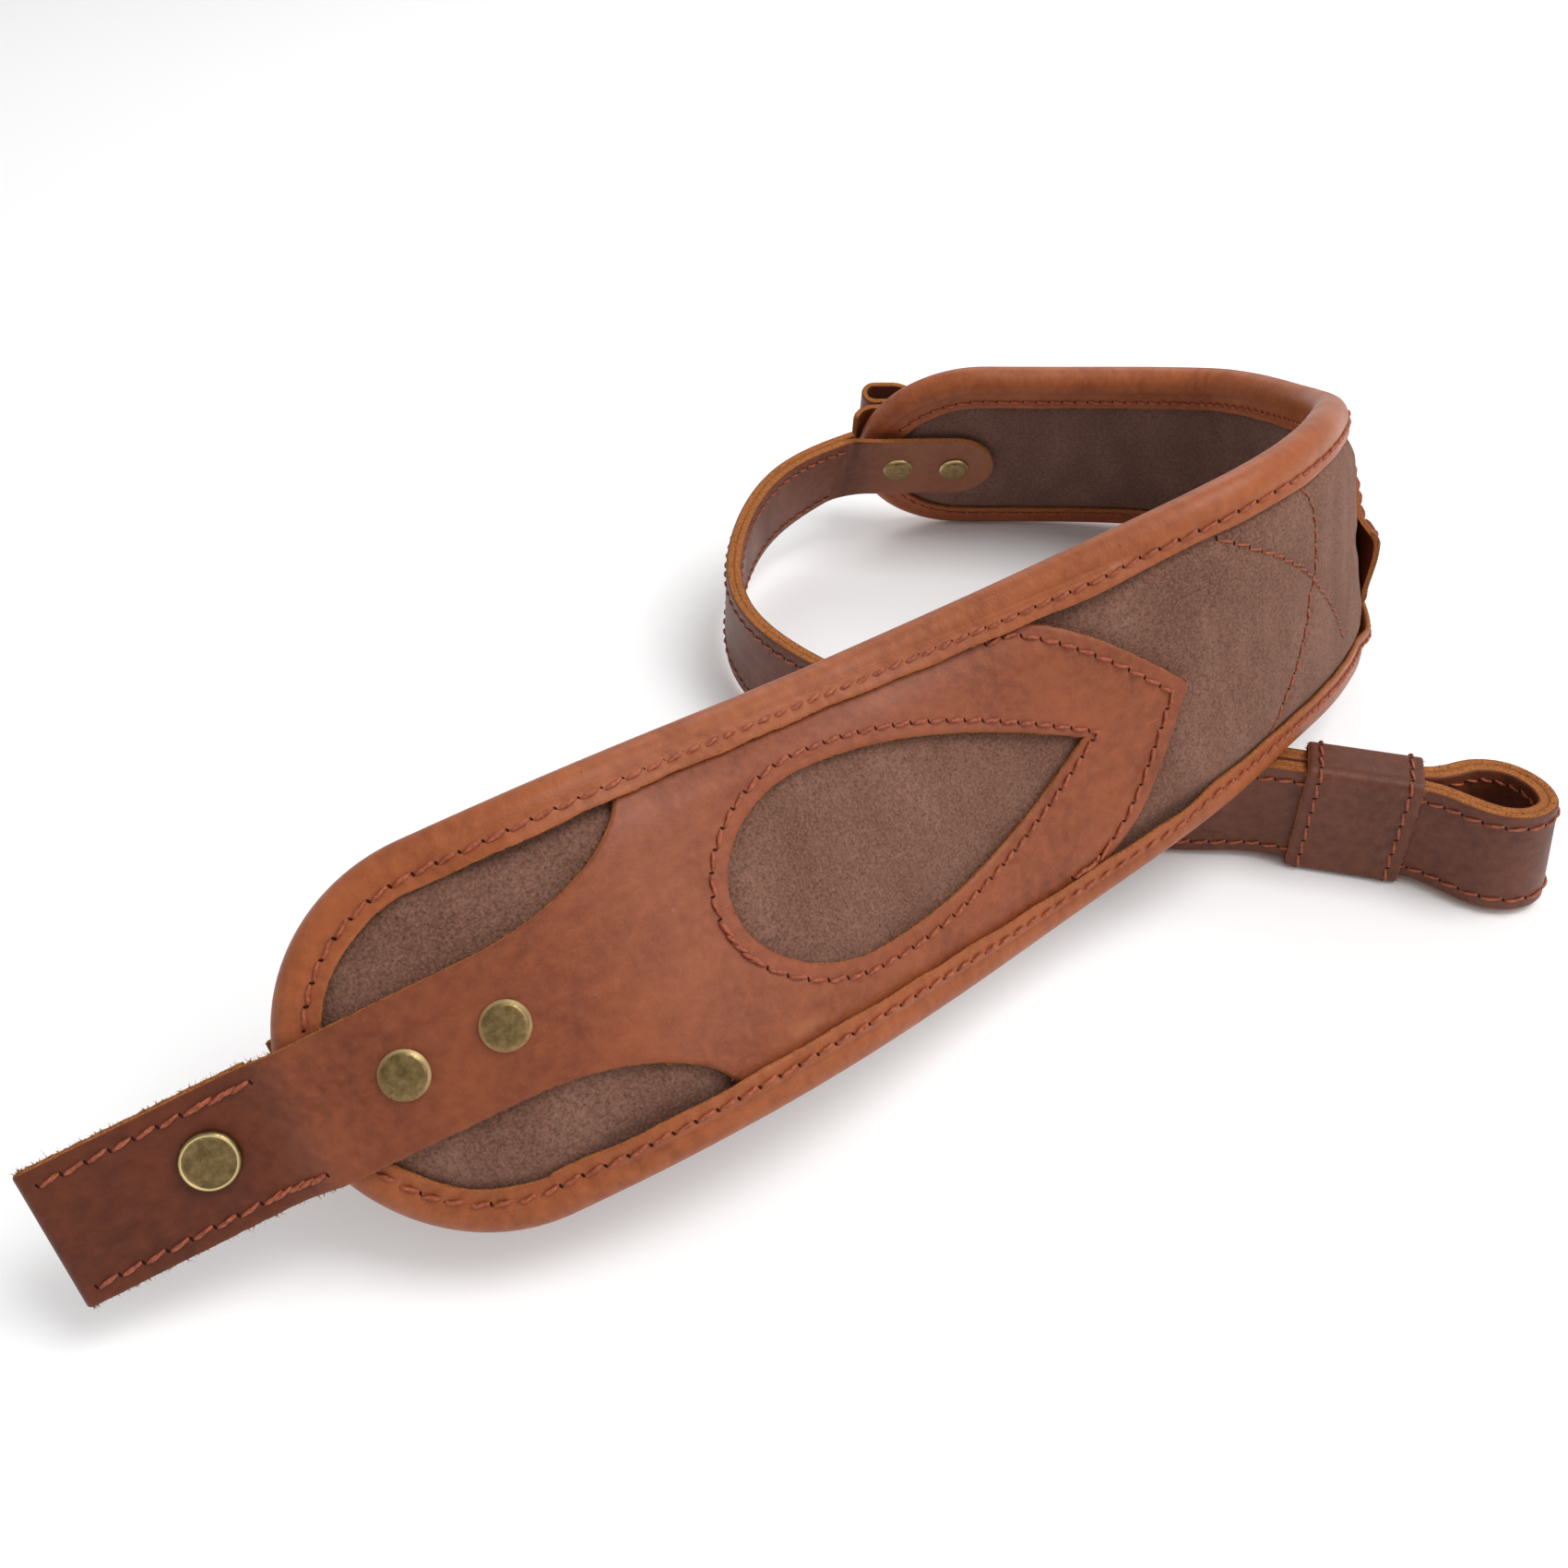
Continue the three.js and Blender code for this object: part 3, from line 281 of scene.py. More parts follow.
class Shader:
    """A small helper that adds and links nodes of one material."""

    COLOR_A, COLOR_B, COLOR_RESULT = 6, 7, 2  # the colour sockets of a Mix node

    def __init__(self, name):
        self.material = bpy.data.materials.new(name)
        self.material.use_nodes = True
        self.tree = self.material.node_tree
        self.surface = self.tree.nodes["Principled BSDF"]

    def put(self, value, socket):
        if isinstance(value, bpy.types.NodeSocket):
            self.tree.links.new(value, socket)
        else:
            socket.default_value = value

    def node(self, kind, settings=None, **inputs):
        made = self.tree.nodes.new(kind)
        for key, value in (settings or {}).items():
            setattr(made, key, value)
        for key, value in inputs.items():
            self.put(value, made.inputs[key.replace("_", " ")])
        return made

    def attribute(self, name, output="Fac"):
        return self.node("ShaderNodeAttribute", {"attribute_name": name}).outputs[output]

    def scaled(self, vector, scale):
        made = self.node("ShaderNodeMapping", Vector=vector)
        made.inputs["Scale"].default_value = scale
        return made.outputs["Vector"]

    def noise(self, vector, scale, detail=3.0, roughness=0.55):
        made = self.node("ShaderNodeTexNoise", Vector=vector, Scale=scale, Detail=detail,
                         Roughness=roughness)
        return made.outputs["Fac"]

    def range(self, value, low, high, to_low=0.0, to_high=1.0):
        made = self.node("ShaderNodeMapRange", Value=value)
        keys = ("From Min", "From Max", "To Min", "To Max")
        for key, number in zip(keys, (low, high, to_low, to_high)):
            made.inputs[key].default_value = number
        return made.outputs["Result"]

    def mix(self, factor, a, b, blend="MIX"):
        made = self.tree.nodes.new("ShaderNodeMix")
        made.data_type = "RGBA"
        made.blend_type = blend
        self.put(factor, made.inputs["Factor"])
        self.put(a, made.inputs[self.COLOR_A])
        self.put(b, made.inputs[self.COLOR_B])
        return made.outputs[self.COLOR_RESULT]

    def maths(self, operation, a, b):
        made = self.tree.nodes.new("ShaderNodeMath")
        made.operation = operation
        self.put(a, made.inputs[0])
        self.put(b, made.inputs[1])
        return made.outputs[0]

    def bump(self, height, distance, strength, normal=None):
        made = self.node("ShaderNodeBump", Height=height, Distance=distance, Strength=strength)
        if normal is not None:
            self.put(normal, made.inputs["Normal"])
        return made.outputs["Normal"]

    def finish(self, color, roughness, normal, **fixed):
        self.put(color, self.surface.inputs["Base Color"])
        self.put(roughness, self.surface.inputs["Roughness"])
        self.put(normal, self.surface.inputs["Normal"])
        for key, value in fixed.items():
            self.surface.inputs[key.replace("_", " ")].default_value = value
        return self.material


def leather_material(name, dark, base, light, pores=0.35, specks=0.5):
    """Oiled leather: cloudy tone, orange scuffs, fine pores and raw cut edges, lightened by rubbing and
    painted light, darkened by painted shade.
    """
    k = Shader(name)
    flat = k.attribute("flat", "Vector")
    cloud = k.range(k.noise(flat, 0.045, 4.0, 0.6), 0.35, 0.65)
    mottle = k.range(k.noise(flat, 0.35, 5.0, 0.65), 0.36, 0.68)
    color = k.mix(cloud, dark, base)
    color = k.mix(k.maths("MULTIPLY", mottle, 0.55), color, light)
    streaks = k.noise(k.scaled(flat, (0.7, 1.5, 1.0)), 1.1, 3.0, 0.7)
    fleck = k.range(streaks, 0.61, 0.72, 0.0, specks)
    patch = k.range(k.noise(flat, 0.09, 2.0), 0.42, 0.66)
    color = k.mix(k.maths("MULTIPLY", fleck, patch), color, rgb(176, 100, 52))
    scratch = k.noise(k.scaled(flat, (0.12, 2.2, 1.0)), 0.8, 2.0, 0.5)
    color = k.mix(k.range(scratch, 0.70, 0.76, 0.0, 0.35), color, rgb(186, 116, 70))
    grain = k.node("ShaderNodeTexVoronoi", Vector=flat, Scale=2.1).outputs["Distance"]
    dots = k.range(k.noise(flat, 1.9, 2.0), 0.66, 0.74, 0.0, pores)
    color = k.mix(dots, color, k.mix(0.5, dark, rgb(40, 20, 12)))
    # positive values lighten: rubbed pull-up and a scuff on the front strap, painted light on the tail's
    # tab
    wear_and_painted_light = k.range(k.attribute("wear_and_painted_light"), 0.0, 1.0, 0.0, 0.55)
    color = k.mix(wear_and_painted_light, color, rgb(170, 108, 72))
    # negative values darken: painted shade towards the front loop and in the tail's crease
    painted_shade = k.range(k.attribute("wear_and_painted_light"), 0.0, -1.0, 0.0, 0.8)
    color = k.mix(painted_shade, color, k.mix(1.0, color, rgb(150, 132, 122), "MULTIPLY"))
    fibre = k.noise(flat, 2.6, 4.0, 0.7)
    raw = k.mix(k.range(fibre, 0.35, 0.65), rgb(122, 66, 30), rgb(205, 130, 70))
    edge = k.range(k.attribute("edge"), 0.25, 0.8)
    color = k.mix(edge, color, raw)
    normal = k.bump(grain, 0.00006, 0.55)
    normal = k.bump(k.noise(flat, 0.6, 4.0, 0.6), 0.0002, 0.3, normal)
    normal = k.bump(k.maths("MULTIPLY", fibre, edge), 0.0005, 0.9, normal)
    roughness = k.mix(edge, k.range(cloud, 0, 1, 0.5, 0.4), (0.95, 0.95, 0.95, 1))
    return k.finish(color, roughness, normal, Specular_IOR_Level=0.26)


def suede_material(name, dark, base, light):
    """Split leather with a short nap, brushed lighter and darker in patches."""
    k = Shader(name)
    flat = k.attribute("flat", "Vector")
    nap = k.noise(flat, 1.5, 4.0, 0.75)
    tuft = k.noise(k.scaled(flat, (1.0, 0.75, 1.0)), 0.7, 4.0, 0.7)
    brushed = k.noise(k.scaled(flat, (1.0, 0.5, 1.0)), 0.06, 3.0, 0.6)
    color = k.mix(k.range(brushed, 0.36, 0.66), base, light)
    color = k.mix(k.range(tuft, 0.42, 0.62, 0.0, 0.5), color, dark)
    color = k.mix(k.range(nap, 0.5, 0.66, 0.0, 0.6), color, k.mix(0.6, light, rgb(158, 122, 104)))
    color = k.mix(k.range(nap, 0.48, 0.34, 0.0, 0.75), color, k.mix(0.5, dark, rgb(38, 24, 20)))
    edge = k.range(k.attribute("edge"), 0.25, 0.8)
    color = k.mix(edge, color, rgb(120, 82, 60))
    normal = k.bump(nap, 0.0006, 0.9)
    normal = k.bump(tuft, 0.0008, 0.5, normal)
    return k.finish(color, 0.95, normal, Specular_IOR_Level=0.15, Sheen_Weight=0.25,
                    Sheen_Roughness=0.6, Sheen_Tint=rgb(190, 160, 145))


def thread_material():
    k = Shader("waxed_thread")
    flat = k.attribute("flat", "Vector")
    tone = k.noise(flat, 1.2, 3.0, 0.6)
    color = k.mix(k.range(tone, 0.35, 0.65), rgb(122, 56, 34), rgb(172, 92, 60))
    strand = k.noise(k.scaled(flat, (1.0, 5.0, 1.0)), 3.0, 2.0)
    normal = k.bump(strand, 0.0001, 0.6)
    return k.finish(color, k.range(tone, 0, 1, 0.5, 0.7), normal, Specular_IOR_Level=0.4)


# Dark discs painted as the shade inside the needle holes.
def hole_shade_material():
    k = Shader("needle_hole_shade")
    flat = k.attribute("flat", "Vector")
    color = k.mix(k.noise(flat, 2.0), rgb(34, 16, 12), rgb(58, 30, 20))
    return k.finish(color, 0.9, k.bump(k.noise(flat, 5.0), 0.0001, 0.3), Specular_IOR_Level=0.1)


def foam_material():
    k = Shader("foam")
    flat = k.attribute("flat", "Vector")
    cells = k.node("ShaderNodeTexVoronoi", Vector=flat, Scale=1.4).outputs["Distance"]
    color = k.mix(cells, rgb(196, 186, 160), rgb(226, 218, 196))
    return k.finish(color, 0.9, k.bump(cells, 0.0003, 0.6), Specular_IOR_Level=0.2)


def brass_material():
    """Antique plating, dark in the hollows and polished on the rim."""
    k = Shader("antique_brass")
    flat = k.attribute("flat", "Vector")
    blotch = k.noise(flat, 0.55, 4.0, 0.65)
    fine = k.noise(flat, 3.2, 3.0, 0.7)
    color = k.mix(k.range(blotch, 0.35, 0.65), rgb(108, 88, 56), rgb(150, 126, 84))
    color = k.mix(k.range(fine, 0.5, 0.7, 0.0, 0.35), color, rgb(84, 68, 42))
    rim = k.range(k.attribute("edge"), 0.2, 0.9)
    color = k.mix(rim, color, rgb(226, 204, 150))
    roughness = k.range(fine, 0.3, 0.7, 0.3, 0.46)
    normal = k.bump(fine, 0.00005, 0.5)
    return k.finish(color, roughness, normal, Metallic=1.0)


# darkest, main and lightest tone of each leather and suede
YOKE_LEATHER = leather_material(
    "yoke_leather", rgb(112, 56, 34), rgb(136, 70, 43), rgb(156, 86, 52), specks=0.8)
BINDING_LEATHER_MAT = leather_material(
    "binding_leather", rgb(128, 64, 32), rgb(148, 78, 42), rgb(172, 98, 56), pores=0.7, specks=0.2)
STRAP_MAT = leather_material(
    "strap_leather", rgb(78, 42, 30), rgb(96, 53, 38), rgb(118, 68, 48), specks=0.4)
LOOP_MAT = leather_material(
    "loop_leather", rgb(88, 46, 30), rgb(112, 60, 40), rgb(136, 76, 46), specks=0.7)
OUTER_SUEDE_MAT = suede_material("outer_suede", rgb(80, 50, 39), rgb(116, 78, 63), rgb(140, 100, 84))
INNER_SUEDE_MAT = suede_material("inner_suede", rgb(74, 50, 43), rgb(104, 72, 62), rgb(126, 92, 80))
THREAD_MAT = thread_material()
HOLE_SHADE_MAT = hole_shade_material()
FOAM_MAT = foam_material()
BRASS_MAT = brass_material()


# ---------- meshes ----------
def add_to_scene(name, data):
    obj = bpy.data.objects.new(name, data)
    bpy.context.scene.collection.objects.link(obj)
    return obj


def make_object(name, points, faces, materials, flat, edge, wear_and_painted_light=None, which=None):
    """A mesh with its flat coordinates, raw edges, and a per-point value for rubbing, painted light and
    painted shade; which gives each face's material.
    """
    mesh = bpy.data.meshes.new(name)
    mesh.from_pydata(np.asarray(points, float).tolist(), [], faces)
    mesh.validate(verbose=False)
    made = mesh.attributes.new("flat", "FLOAT_VECTOR", "POINT")
    made.data.foreach_set("vector", np.asarray(flat, np.float32).ravel())
    wear_and_painted_light = np.zeros(len(points)) if wear_and_painted_light is None else wear_and_painted_light
    for key, values in (("edge", edge), ("wear_and_painted_light", wear_and_painted_light)):
        made = mesh.attributes.new(key, "FLOAT", "POINT")
        made.data.foreach_set("value", np.asarray(values, np.float32))
    for material in materials:
        mesh.materials.append(material)
    if which is not None:
        mesh.polygons.foreach_set("material_index", np.asarray(which, np.int32))
    mesh.polygons.foreach_set("use_smooth", np.ones(len(mesh.polygons), bool))
    mesh.update()
    return add_to_scene(name, mesh)


def faces_out(points, faces):
    """The faces turned round if the closed mesh is inside out."""
    p = np.asarray(points, float)
    p = p - p.mean(axis=0)
    volume = 0.0
    for size in (3, 4):
        of_size = np.array([f for f in faces if len(f) == size], int)
        if len(of_size):
            for j in range(1, size - 1):
                a, b, c = p[of_size[:, 0]], p[of_size[:, j]], p[of_size[:, j + 1]]
                volume += float(np.einsum("ij,ij->", a, np.cross(b, c)))
    return [f[::-1] for f in faces] if volume < 0 else faces


def closed_tubes(ids):
    """Faces of tubes from corner numbers: one row of ids for each ring, capped at both ends."""
    a, b = ids[:, :-1], ids[:, 1:]
    sides = np.stack([a, np.roll(a, -1, 2), np.roll(b, -1, 2), b], axis=3).reshape(-1, 4)
    return sides.tolist() + ids[:, 0, ::-1].tolist() + ids[:, -1].tolist()


def fibres(base, way, along, count, longest):
    """Loose fibres and crumbs on a raw edge: tapered three-sided strands that bend over."""
    pick = rng.integers(0, len(base), count)
    start = base[pick] + along[pick] * rng.uniform(-0.0006, 0.0006, (count, 1))
    heading = unit(way[pick] + rng.normal(0, 0.55, (count, 3)))
    length = rng.uniform(0.25, longest, (count, 1)) * MM
    crumb = rng.uniform(size=(count, 1)) < 0.3
    length = np.where(crumb, np.minimum(length, 0.55 * MM), length)
    crumb_radius = rng.uniform(0.1, 0.2, (count, 1))
    radius = np.where(crumb, crumb_radius, rng.uniform(0.03, 0.06, (count, 1))) * MM
    bend = rng.normal(0, 0.45, (count, 3))
    side = unit(np.cross(heading, rng.normal(0, 1, (count, 3))))
    other = np.cross(heading, side)
    points = []
    for t, fat in ((-0.15, 1.0), (0.35, 0.9), (0.7, 0.6), (1.0, 0.2)):
        middle = start + heading * length * t + bend * length * t * t
        for k in range(3):
            angle = 2 * math.pi * k / 3
            points.append(middle + (side * math.cos(angle) + other * math.sin(angle)) * radius * fat)
    return np.stack(points, axis=1).reshape(-1, 3), closed_tubes(np.arange(count * 12).reshape(count, 4, 3))


def thick_piece(name, flat, top, bottom, materials, opened=None, rough=0.12, fuzz=0.0, longest=1.1,
                wear_and_painted_light=None, rounding=0.22):
    """A closed piece of leather from a grid of its upper and under faces, with raw cut edges all round."""
    rows, cols = flat.shape[:2]
    keys = np.round(flat.reshape(-1, 2), 3)
    _, first, index = np.unique(keys, axis=0, return_index=True, return_inverse=True)
    index = index.reshape(rows, cols)
    top, bottom = top.reshape(-1, 3)[first], bottom.reshape(-1, 3)[first]
    pattern = flat.reshape(-1, 2)[first]
    count = len(first)
    cells = []
    for i in range(rows - 1):
        for j in range(cols - 1):
            if opened is not None and opened(i, j):
                continue
            corners = [index[i, j], index[i + 1, j], index[i + 1, j + 1], index[i, j + 1]]
            cell = [int(c) for k, c in enumerate(corners) if c != corners[k - 1]]
            if len(cell) >= 3 and len(set(cell)) == len(cell):
                cells.append(cell)
    edges = {(c[k], c[(k + 1) % len(c)]) for c in cells for k in range(len(c))}
    rim = [(a, b) for a, b in edges if (b, a) not in edges]
    rim.sort()
    following = dict(rim)
    before = {b: a for a, b in rim}
    on_rim = np.array(sorted(following), int)
    e = unit(top[[following[m] for m in on_rim]] - top[[before[m] for m in on_rim]])
    thickness = top[on_rim] - bottom[on_rim]
    outward = unit(np.cross(e, thickness))
    depth = np.linalg.norm(thickness, axis=1, keepdims=True)
    top = top.copy()
    top[on_rim] -= thickness / depth * rounding * MM
    rings = []
    for share in (0.3, 0.65):
        ring = top[on_rim] * (1 - share) + bottom[on_rim] * share
        swell = (0.12 + rough * rng.uniform(-0.6, 1, (len(on_rim), 1))) * MM
        rings.append(ring + outward * swell)
    points = np.vstack([top, bottom, *rings])
    slot_of = {int(m): k for k, m in enumerate(on_rim)}
    faces = [list(c) for c in cells] + [[v + count for v in c[::-1]] for c in cells]
    for a, b in rim:
        starts = [2 * count + r * len(on_rim) for r in range(2)]
        levels = [(a, b), *((o + slot_of[a], o + slot_of[b]) for o in starts), (a + count, b + count)]
        for (a0, b0), (a1, b1) in zip(levels, levels[1:]):
            faces.append([b0, a0, a1, b1])
    faces = faces_out(points, faces)
    pattern3 = np.column_stack([pattern, np.zeros(count)])
    under3 = np.column_stack([pattern, np.full(count, 3.0)])
    ring3 = [np.column_stack([pattern[on_rim], np.full(len(on_rim), z)]) for z in (0.8, 1.8)]
    coords = np.vstack([pattern3, under3, *ring3])
    edge = np.zeros(len(points))
    edge[on_rim] = 0.35
    edge[on_rim + count] = 1
    edge[2 * count:] = 1
    # per-point lightening by rubbing and painted light, darkening by painted shade
    shade_and_wear_values = np.zeros(len(points))
    if wear_and_painted_light is not None:
        shade_and_wear_values[:count] = wear_and_painted_light(pattern[:, 0], pattern[:, 1])
    if fuzz:
        number = int(fuzz * len(on_rim))
        base = np.vstack([rings[0], rings[1], bottom[on_rim]])
        lean = unit(outward - 0.35 * thickness / depth)
        ways = np.vstack([outward, outward, lean])
        extra, extra_faces = fibres(base, ways, np.vstack([e] * 3), number, longest)
        faces = faces + [[v + len(points) for v in f] for f in extra_faces]
        coords = np.vstack([coords, extra / MM])
        edge = np.concatenate([edge, np.ones(len(extra))])
        shade_and_wear_values = np.concatenate([shade_and_wear_values, np.zeros(len(extra))])
        points = np.vstack([points, extra])
    return make_object(name, points, faces, materials, coords, edge, shade_and_wear_values)


def swept_piece(name, grid, coords, edge, materials, closed):
    """A closed bar from rings of points; closed joins the last ring to the first."""
    steps, m = grid.shape[:2]
    number = np.arange(steps * m).reshape(steps, m)
    faces = []
    for i in range(steps if closed else steps - 1):
        a, b = number[i], number[(i + 1) % steps]
        for j in range(m):
            k = (j + 1) % m
            faces.append([int(a[j]), int(a[k]), int(b[k]), int(b[j])])
    if not closed:
        faces.append([int(v) for v in number[0][::-1]])
        faces.append([int(v) for v in number[-1]])
    points = grid.reshape(-1, 3)
    faces = faces_out(points, faces)
    return make_object(name, points, faces, materials, coords.reshape(-1, 3), edge.ravel())


def finish_piece(obj, body, slot, *nodes):
    if body is not None:
        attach(obj, body)
    if nodes:
        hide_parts(*nodes)
    return obj


# ---------- the padded body ----------
def each_column(s, u):
    """One s for every column of the rows of u."""
    return np.repeat(s[:, None], u.shape[1], 1)


def flat_grid(s, u):
    return np.stack([each_column(s, u), u], axis=2)


def pad_grid(d, step, spread):
    """Rows along the pad's outline drawn in by d, as flat points."""
    start, end = PAD_FROM + d, PAD_TO - d
    ends = np.array([0.0, 0.15, 0.5, 1.1, 2, 3.2, 4.8, 7, 10])
    middle = np.arange(start + 12, end - 12, step)
    s = np.concatenate([start + ends, middle, end - ends[::-1]])
    return flat_grid(s, half_width(s, d)[:, None] * spread[None, :])


def even_spread(half, step):
    return np.linspace(-1, 1, 2 * int(round(half / step)) + 1)


def suede_face(name, inner):
    flat = pad_grid(SUEDE_INSET, 1.3, even_spread(HALF, 1.3))
    s, u = flat[..., 0], flat[..., 1]
    level = suede_level(s, u, inner)
    sign = -1 if inner else 1
    top, bottom = pad_place(s, u, sign * level), pad_place(s, u, sign * (level - SUEDE))
    material = INNER_SUEDE_MAT if inner else OUTER_SUEDE_MAT
    return thick_piece(name, flat, top, bottom, [material], rough=0.02)


def foam_core():
    flat = pad_grid(9, 3.0, even_spread(HALF, 3.0))
    s, u = flat[..., 0], flat[..., 1]
    d = inset(s, u)
    half = np.maximum(core(d) - 0.8 * (1 - smooth((d - 12) / 4)) - SUEDE - 1.6, 0.35)
    top, bottom = pad_place(s, u, half), pad_place(s, u, -half)
    return thick_piece("foam_core", flat, top, bottom, [FOAM_MAT], rough=0.0)


def outline_walk(step):
    """Points once round the pad: s of the nearest arc centre and the way outward."""
    side_s = np.arange(ROUND_NEAR, ROUND_FAR, step)
    arc = np.linspace(0, math.pi, int(math.pi * HALF / step))[:-1]
    parts = [
        np.column_stack([side_s, side_s * 0, side_s * 0 - 1]),
        np.column_stack([arc * 0 + ROUND_FAR, np.sin(arc), -np.cos(arc)]),
        np.column_stack([(ROUND_NEAR + ROUND_FAR) - side_s, side_s * 0, side_s * 0 + 1]),
        np.column_stack([arc * 0 + ROUND_NEAR, -np.sin(arc), np.cos(arc)]),
    ]
    return np.vstack(parts)


def walk_points(walk, d):
    return walk[:, 0] + walk[:, 1] * (HALF - d), walk[:, 2] * (HALF - d)


def walked(walk, d):
    return distances(np.column_stack(walk_points(walk, d)))


def edge_binding():
    walk = outline_walk(1.15)
    along = walked(walk, BINDING_SEAM)
    under_roll = BINDING_ROLL - 1.8
    ripple = 0.12 * np.sin(along / 3.1) + 0.1 * np.sin(along / 7.7 + 1)
    sections, coords, edge = [], [], []

    def add(d, n, ring, depth=0.0, raw=0.0):
        s, u = walk_points(walk, d)
        sections.append(pad_place(s, u, n))
        coords.append(np.column_stack([along, np.full(len(along), ring), np.full(len(along), depth)]))
        edge.append(np.full(len(along), raw))

    def top_at(d):
        s, _ = walk_points(walk, d)
        wrinkle = 0.1 * np.sin(along / 1.9 + d) * smooth((ROUND_NEAR - s) / 10)
        return binding_top(s, d) - binding_press(d, along, BINDING_SEAM) + wrinkle

    lap = OUTER_LAP + ripple
    s_lap, _ = walk_points(walk, OUTER_LAP)
    add(lap + 0.1, binding_under(s_lap, OUTER_LAP) + 0.05, 13.6, 1.5, 1.0)
    ragged = lap + 0.22 + rng.uniform(-0.1, 0.12, len(along))
    add(ragged, binding_under(s_lap, OUTER_LAP) + 0.8, 13.0, 0.8, 1.0)
    add(lap, top_at(OUTER_LAP) - 0.2, 12.4, 0.3, 0.45)
    for d in (9.1, 8.6, 8.0, 7.5, 7.2, 6.9, 6.6, 6.2, 5.6, 5.1):
        add(d, top_at(d), 12.0 - (9.1 - d) * 0.6)
    for degrees in np.arange(0, 181, 12):
        a = math.radians(degrees)
        add(BINDING_ROLL - BINDING_ROLL * math.sin(a), BINDING_ROLL * math.cos(a), 9.0 - degrees / 20)
    for d in (5.6, 6.6, 7.6, 8.4, 8.8, 9.0, 9.2, 9.7, 10.5):
        low = -binding_bottom(np.full(len(along), d)) + binding_press(d, along, INNER_SEAM)
        add(d, low, -1.0 - d)
    add(INNER_LAP + ripple, -binding_bottom(INNER_LAP) + 0.2, -13.0, 0.3, 0.45)
    ragged = INNER_LAP + 0.2 + rng.uniform(-0.1, 0.12, len(along))
    add(ragged, -binding_bottom(INNER_LAP) + 0.8, -13.6, 0.8, 1.0)
    add(INNER_LAP + ripple + 0.1, -core(INNER_LAP) - 0.1, -14.2, 1.5, 1.0)
    add(7.5, -core(7.5) - GAP, -15.0, 2.0, 1.0)
    for degrees in (180, 135, 90, 45, 0):
        a = math.radians(degrees)
        add(BINDING_ROLL - under_roll * math.sin(a), under_roll * math.cos(a), -16.0, 2.0, 1.0)
    s_in, _ = walk_points(walk, 6.3)
    add(6.3, binding_under(s_in, 6.3), 14.5, 2.0, 1.0)
    grid = np.stack(sections, axis=1)
    return swept_piece("edge_binding", grid, np.stack(coords, axis=1), np.stack(edge, axis=1),
                       [BINDING_LEATHER_MAT], True)


# ---------- yokes, straps and tabs ----------
def across_columns(low, high, count):
    """Columns from low to high, crowded beside the cut edges."""
    span = high - low
    close, next_in = np.minimum(0.4, span * 0.12), np.minimum(1.1, span * 0.28)
    share = np.linspace(0, 1, count)[None, :]
    inner = share * (span - 2 * next_in)[:, None] + (low + next_in)[:, None]
    return np.column_stack([low, low + close, inner, high - close, high])


def yoke_rows(m):
    """Flat rows of a yoke with its window, u from the lower edge to the upper one."""
    w, h = window_half(m), yoke_half(m)
    w = np.where((m <= WINDOW_FROM) | (m >= WINDOW_TIP), 0, w)
    upper = across_columns(w, h, 15)
    u = np.column_stack([-upper[:, ::-1], upper])
    return u, w


def front_strap():
    """One length of leather: folded loop, crease and the yoke on the pad."""
    inside = GAP / 2
    thick = STRAP_LEATHER
    path = []
    for s in np.arange(CREASE - 2.2, LOOP_FOLD, -1.1):
        path.append((s, LOOP_LEVEL - inside, 0.0, -1.0))
    for degrees in np.arange(180, -1, -15):
        a = math.radians(degrees)
        path.append((LOOP_FOLD - inside * math.sin(a), LOOP_LEVEL + inside * math.cos(a),
                     -math.sin(a), math.cos(a)))
    for s in np.arange(LOOP_FOLD + 1, -10, 1.1):
        path.append((s, LOOP_LEVEL + inside, 0.0, 1.0))
    path = np.array(path)
    marks = [WINDOW_FROM, WINDOW_FROM + 0.15, WINDOW_FROM + 0.5, WINDOW_FROM + 1.2,
             WINDOW_TIP - 0.3, WINDOW_TIP, ARROW_TIP - 0.3, ARROW_TIP]
    flat_s = np.unique(np.concatenate([np.arange(-10, ARROW_TIP, 1.0), marks]))
    u_yoke, w = yoke_rows(flat_s)
    u_loop = np.tile(yoke_rows(np.zeros(1))[0], (len(path), 1))
    q = np.concatenate([-10 - np.cumsum(np.full(len(path), 1.0))[::-1], flat_s])
    u = np.vstack([u_loop, u_yoke])
    flat = flat_grid(q, u)
    s_l, n_l, ns, nn = (path[:, k:k + 1] for k in range(4))
    loop_low = loop_place(s_l, u_loop, n_l)
    loop_top = loop_place(s_l + ns * thick, u_loop, n_l + nn * thick)
    s_y = each_column(flat_s, u)
    beneath = yoke_under(s_y, u_yoke)
    behind = s_y < CREASE
    low, top = (np.where(behind[..., None], loop_place(s_y, u_yoke, n), pad_place(s_y, u_yoke, n))
                for n in (beneath, beneath + thick))
    middle = u.shape[1] // 2 - 1
    shut = len(path)

    def opened(i, j):
        if i < shut or j != middle:
            return False
        return w[i - shut] > 0 or w[min(i + 1 - shut, len(w) - 1)] > 0

    # Lighter pull-up where the strap bends and a scuff are rubbing on the leather; the negative term is
    # painted shade that darkens the strap towards the loop.
    def wear_and_painted_light(s, v):
        bend = np.exp(-(((s - 4) / 7) ** 2)) * (0.35 + 0.25 * np.sin(v / 2.1 + s) ** 2)
        scuff = np.exp(-(((s - 92) / 4) ** 2) - (((v + 26.5) / 1.2) ** 2))
        painted_shade_to_loop = 0.9 * smooth((30 - s) / 60) + 0.3 * smooth((80 - s) / 60)
        return np.clip(0.8 * bend + scuff - painted_shade_to_loop, -1, 1)

    return thick_piece("front_strap", flat, np.vstack([loop_top, top]), np.vstack([loop_low, low]),
                       [YOKE_LEATHER], opened, rough=0.16, fuzz=2.6, longest=1.0, wear_and_painted_light=wear_and_painted_light)


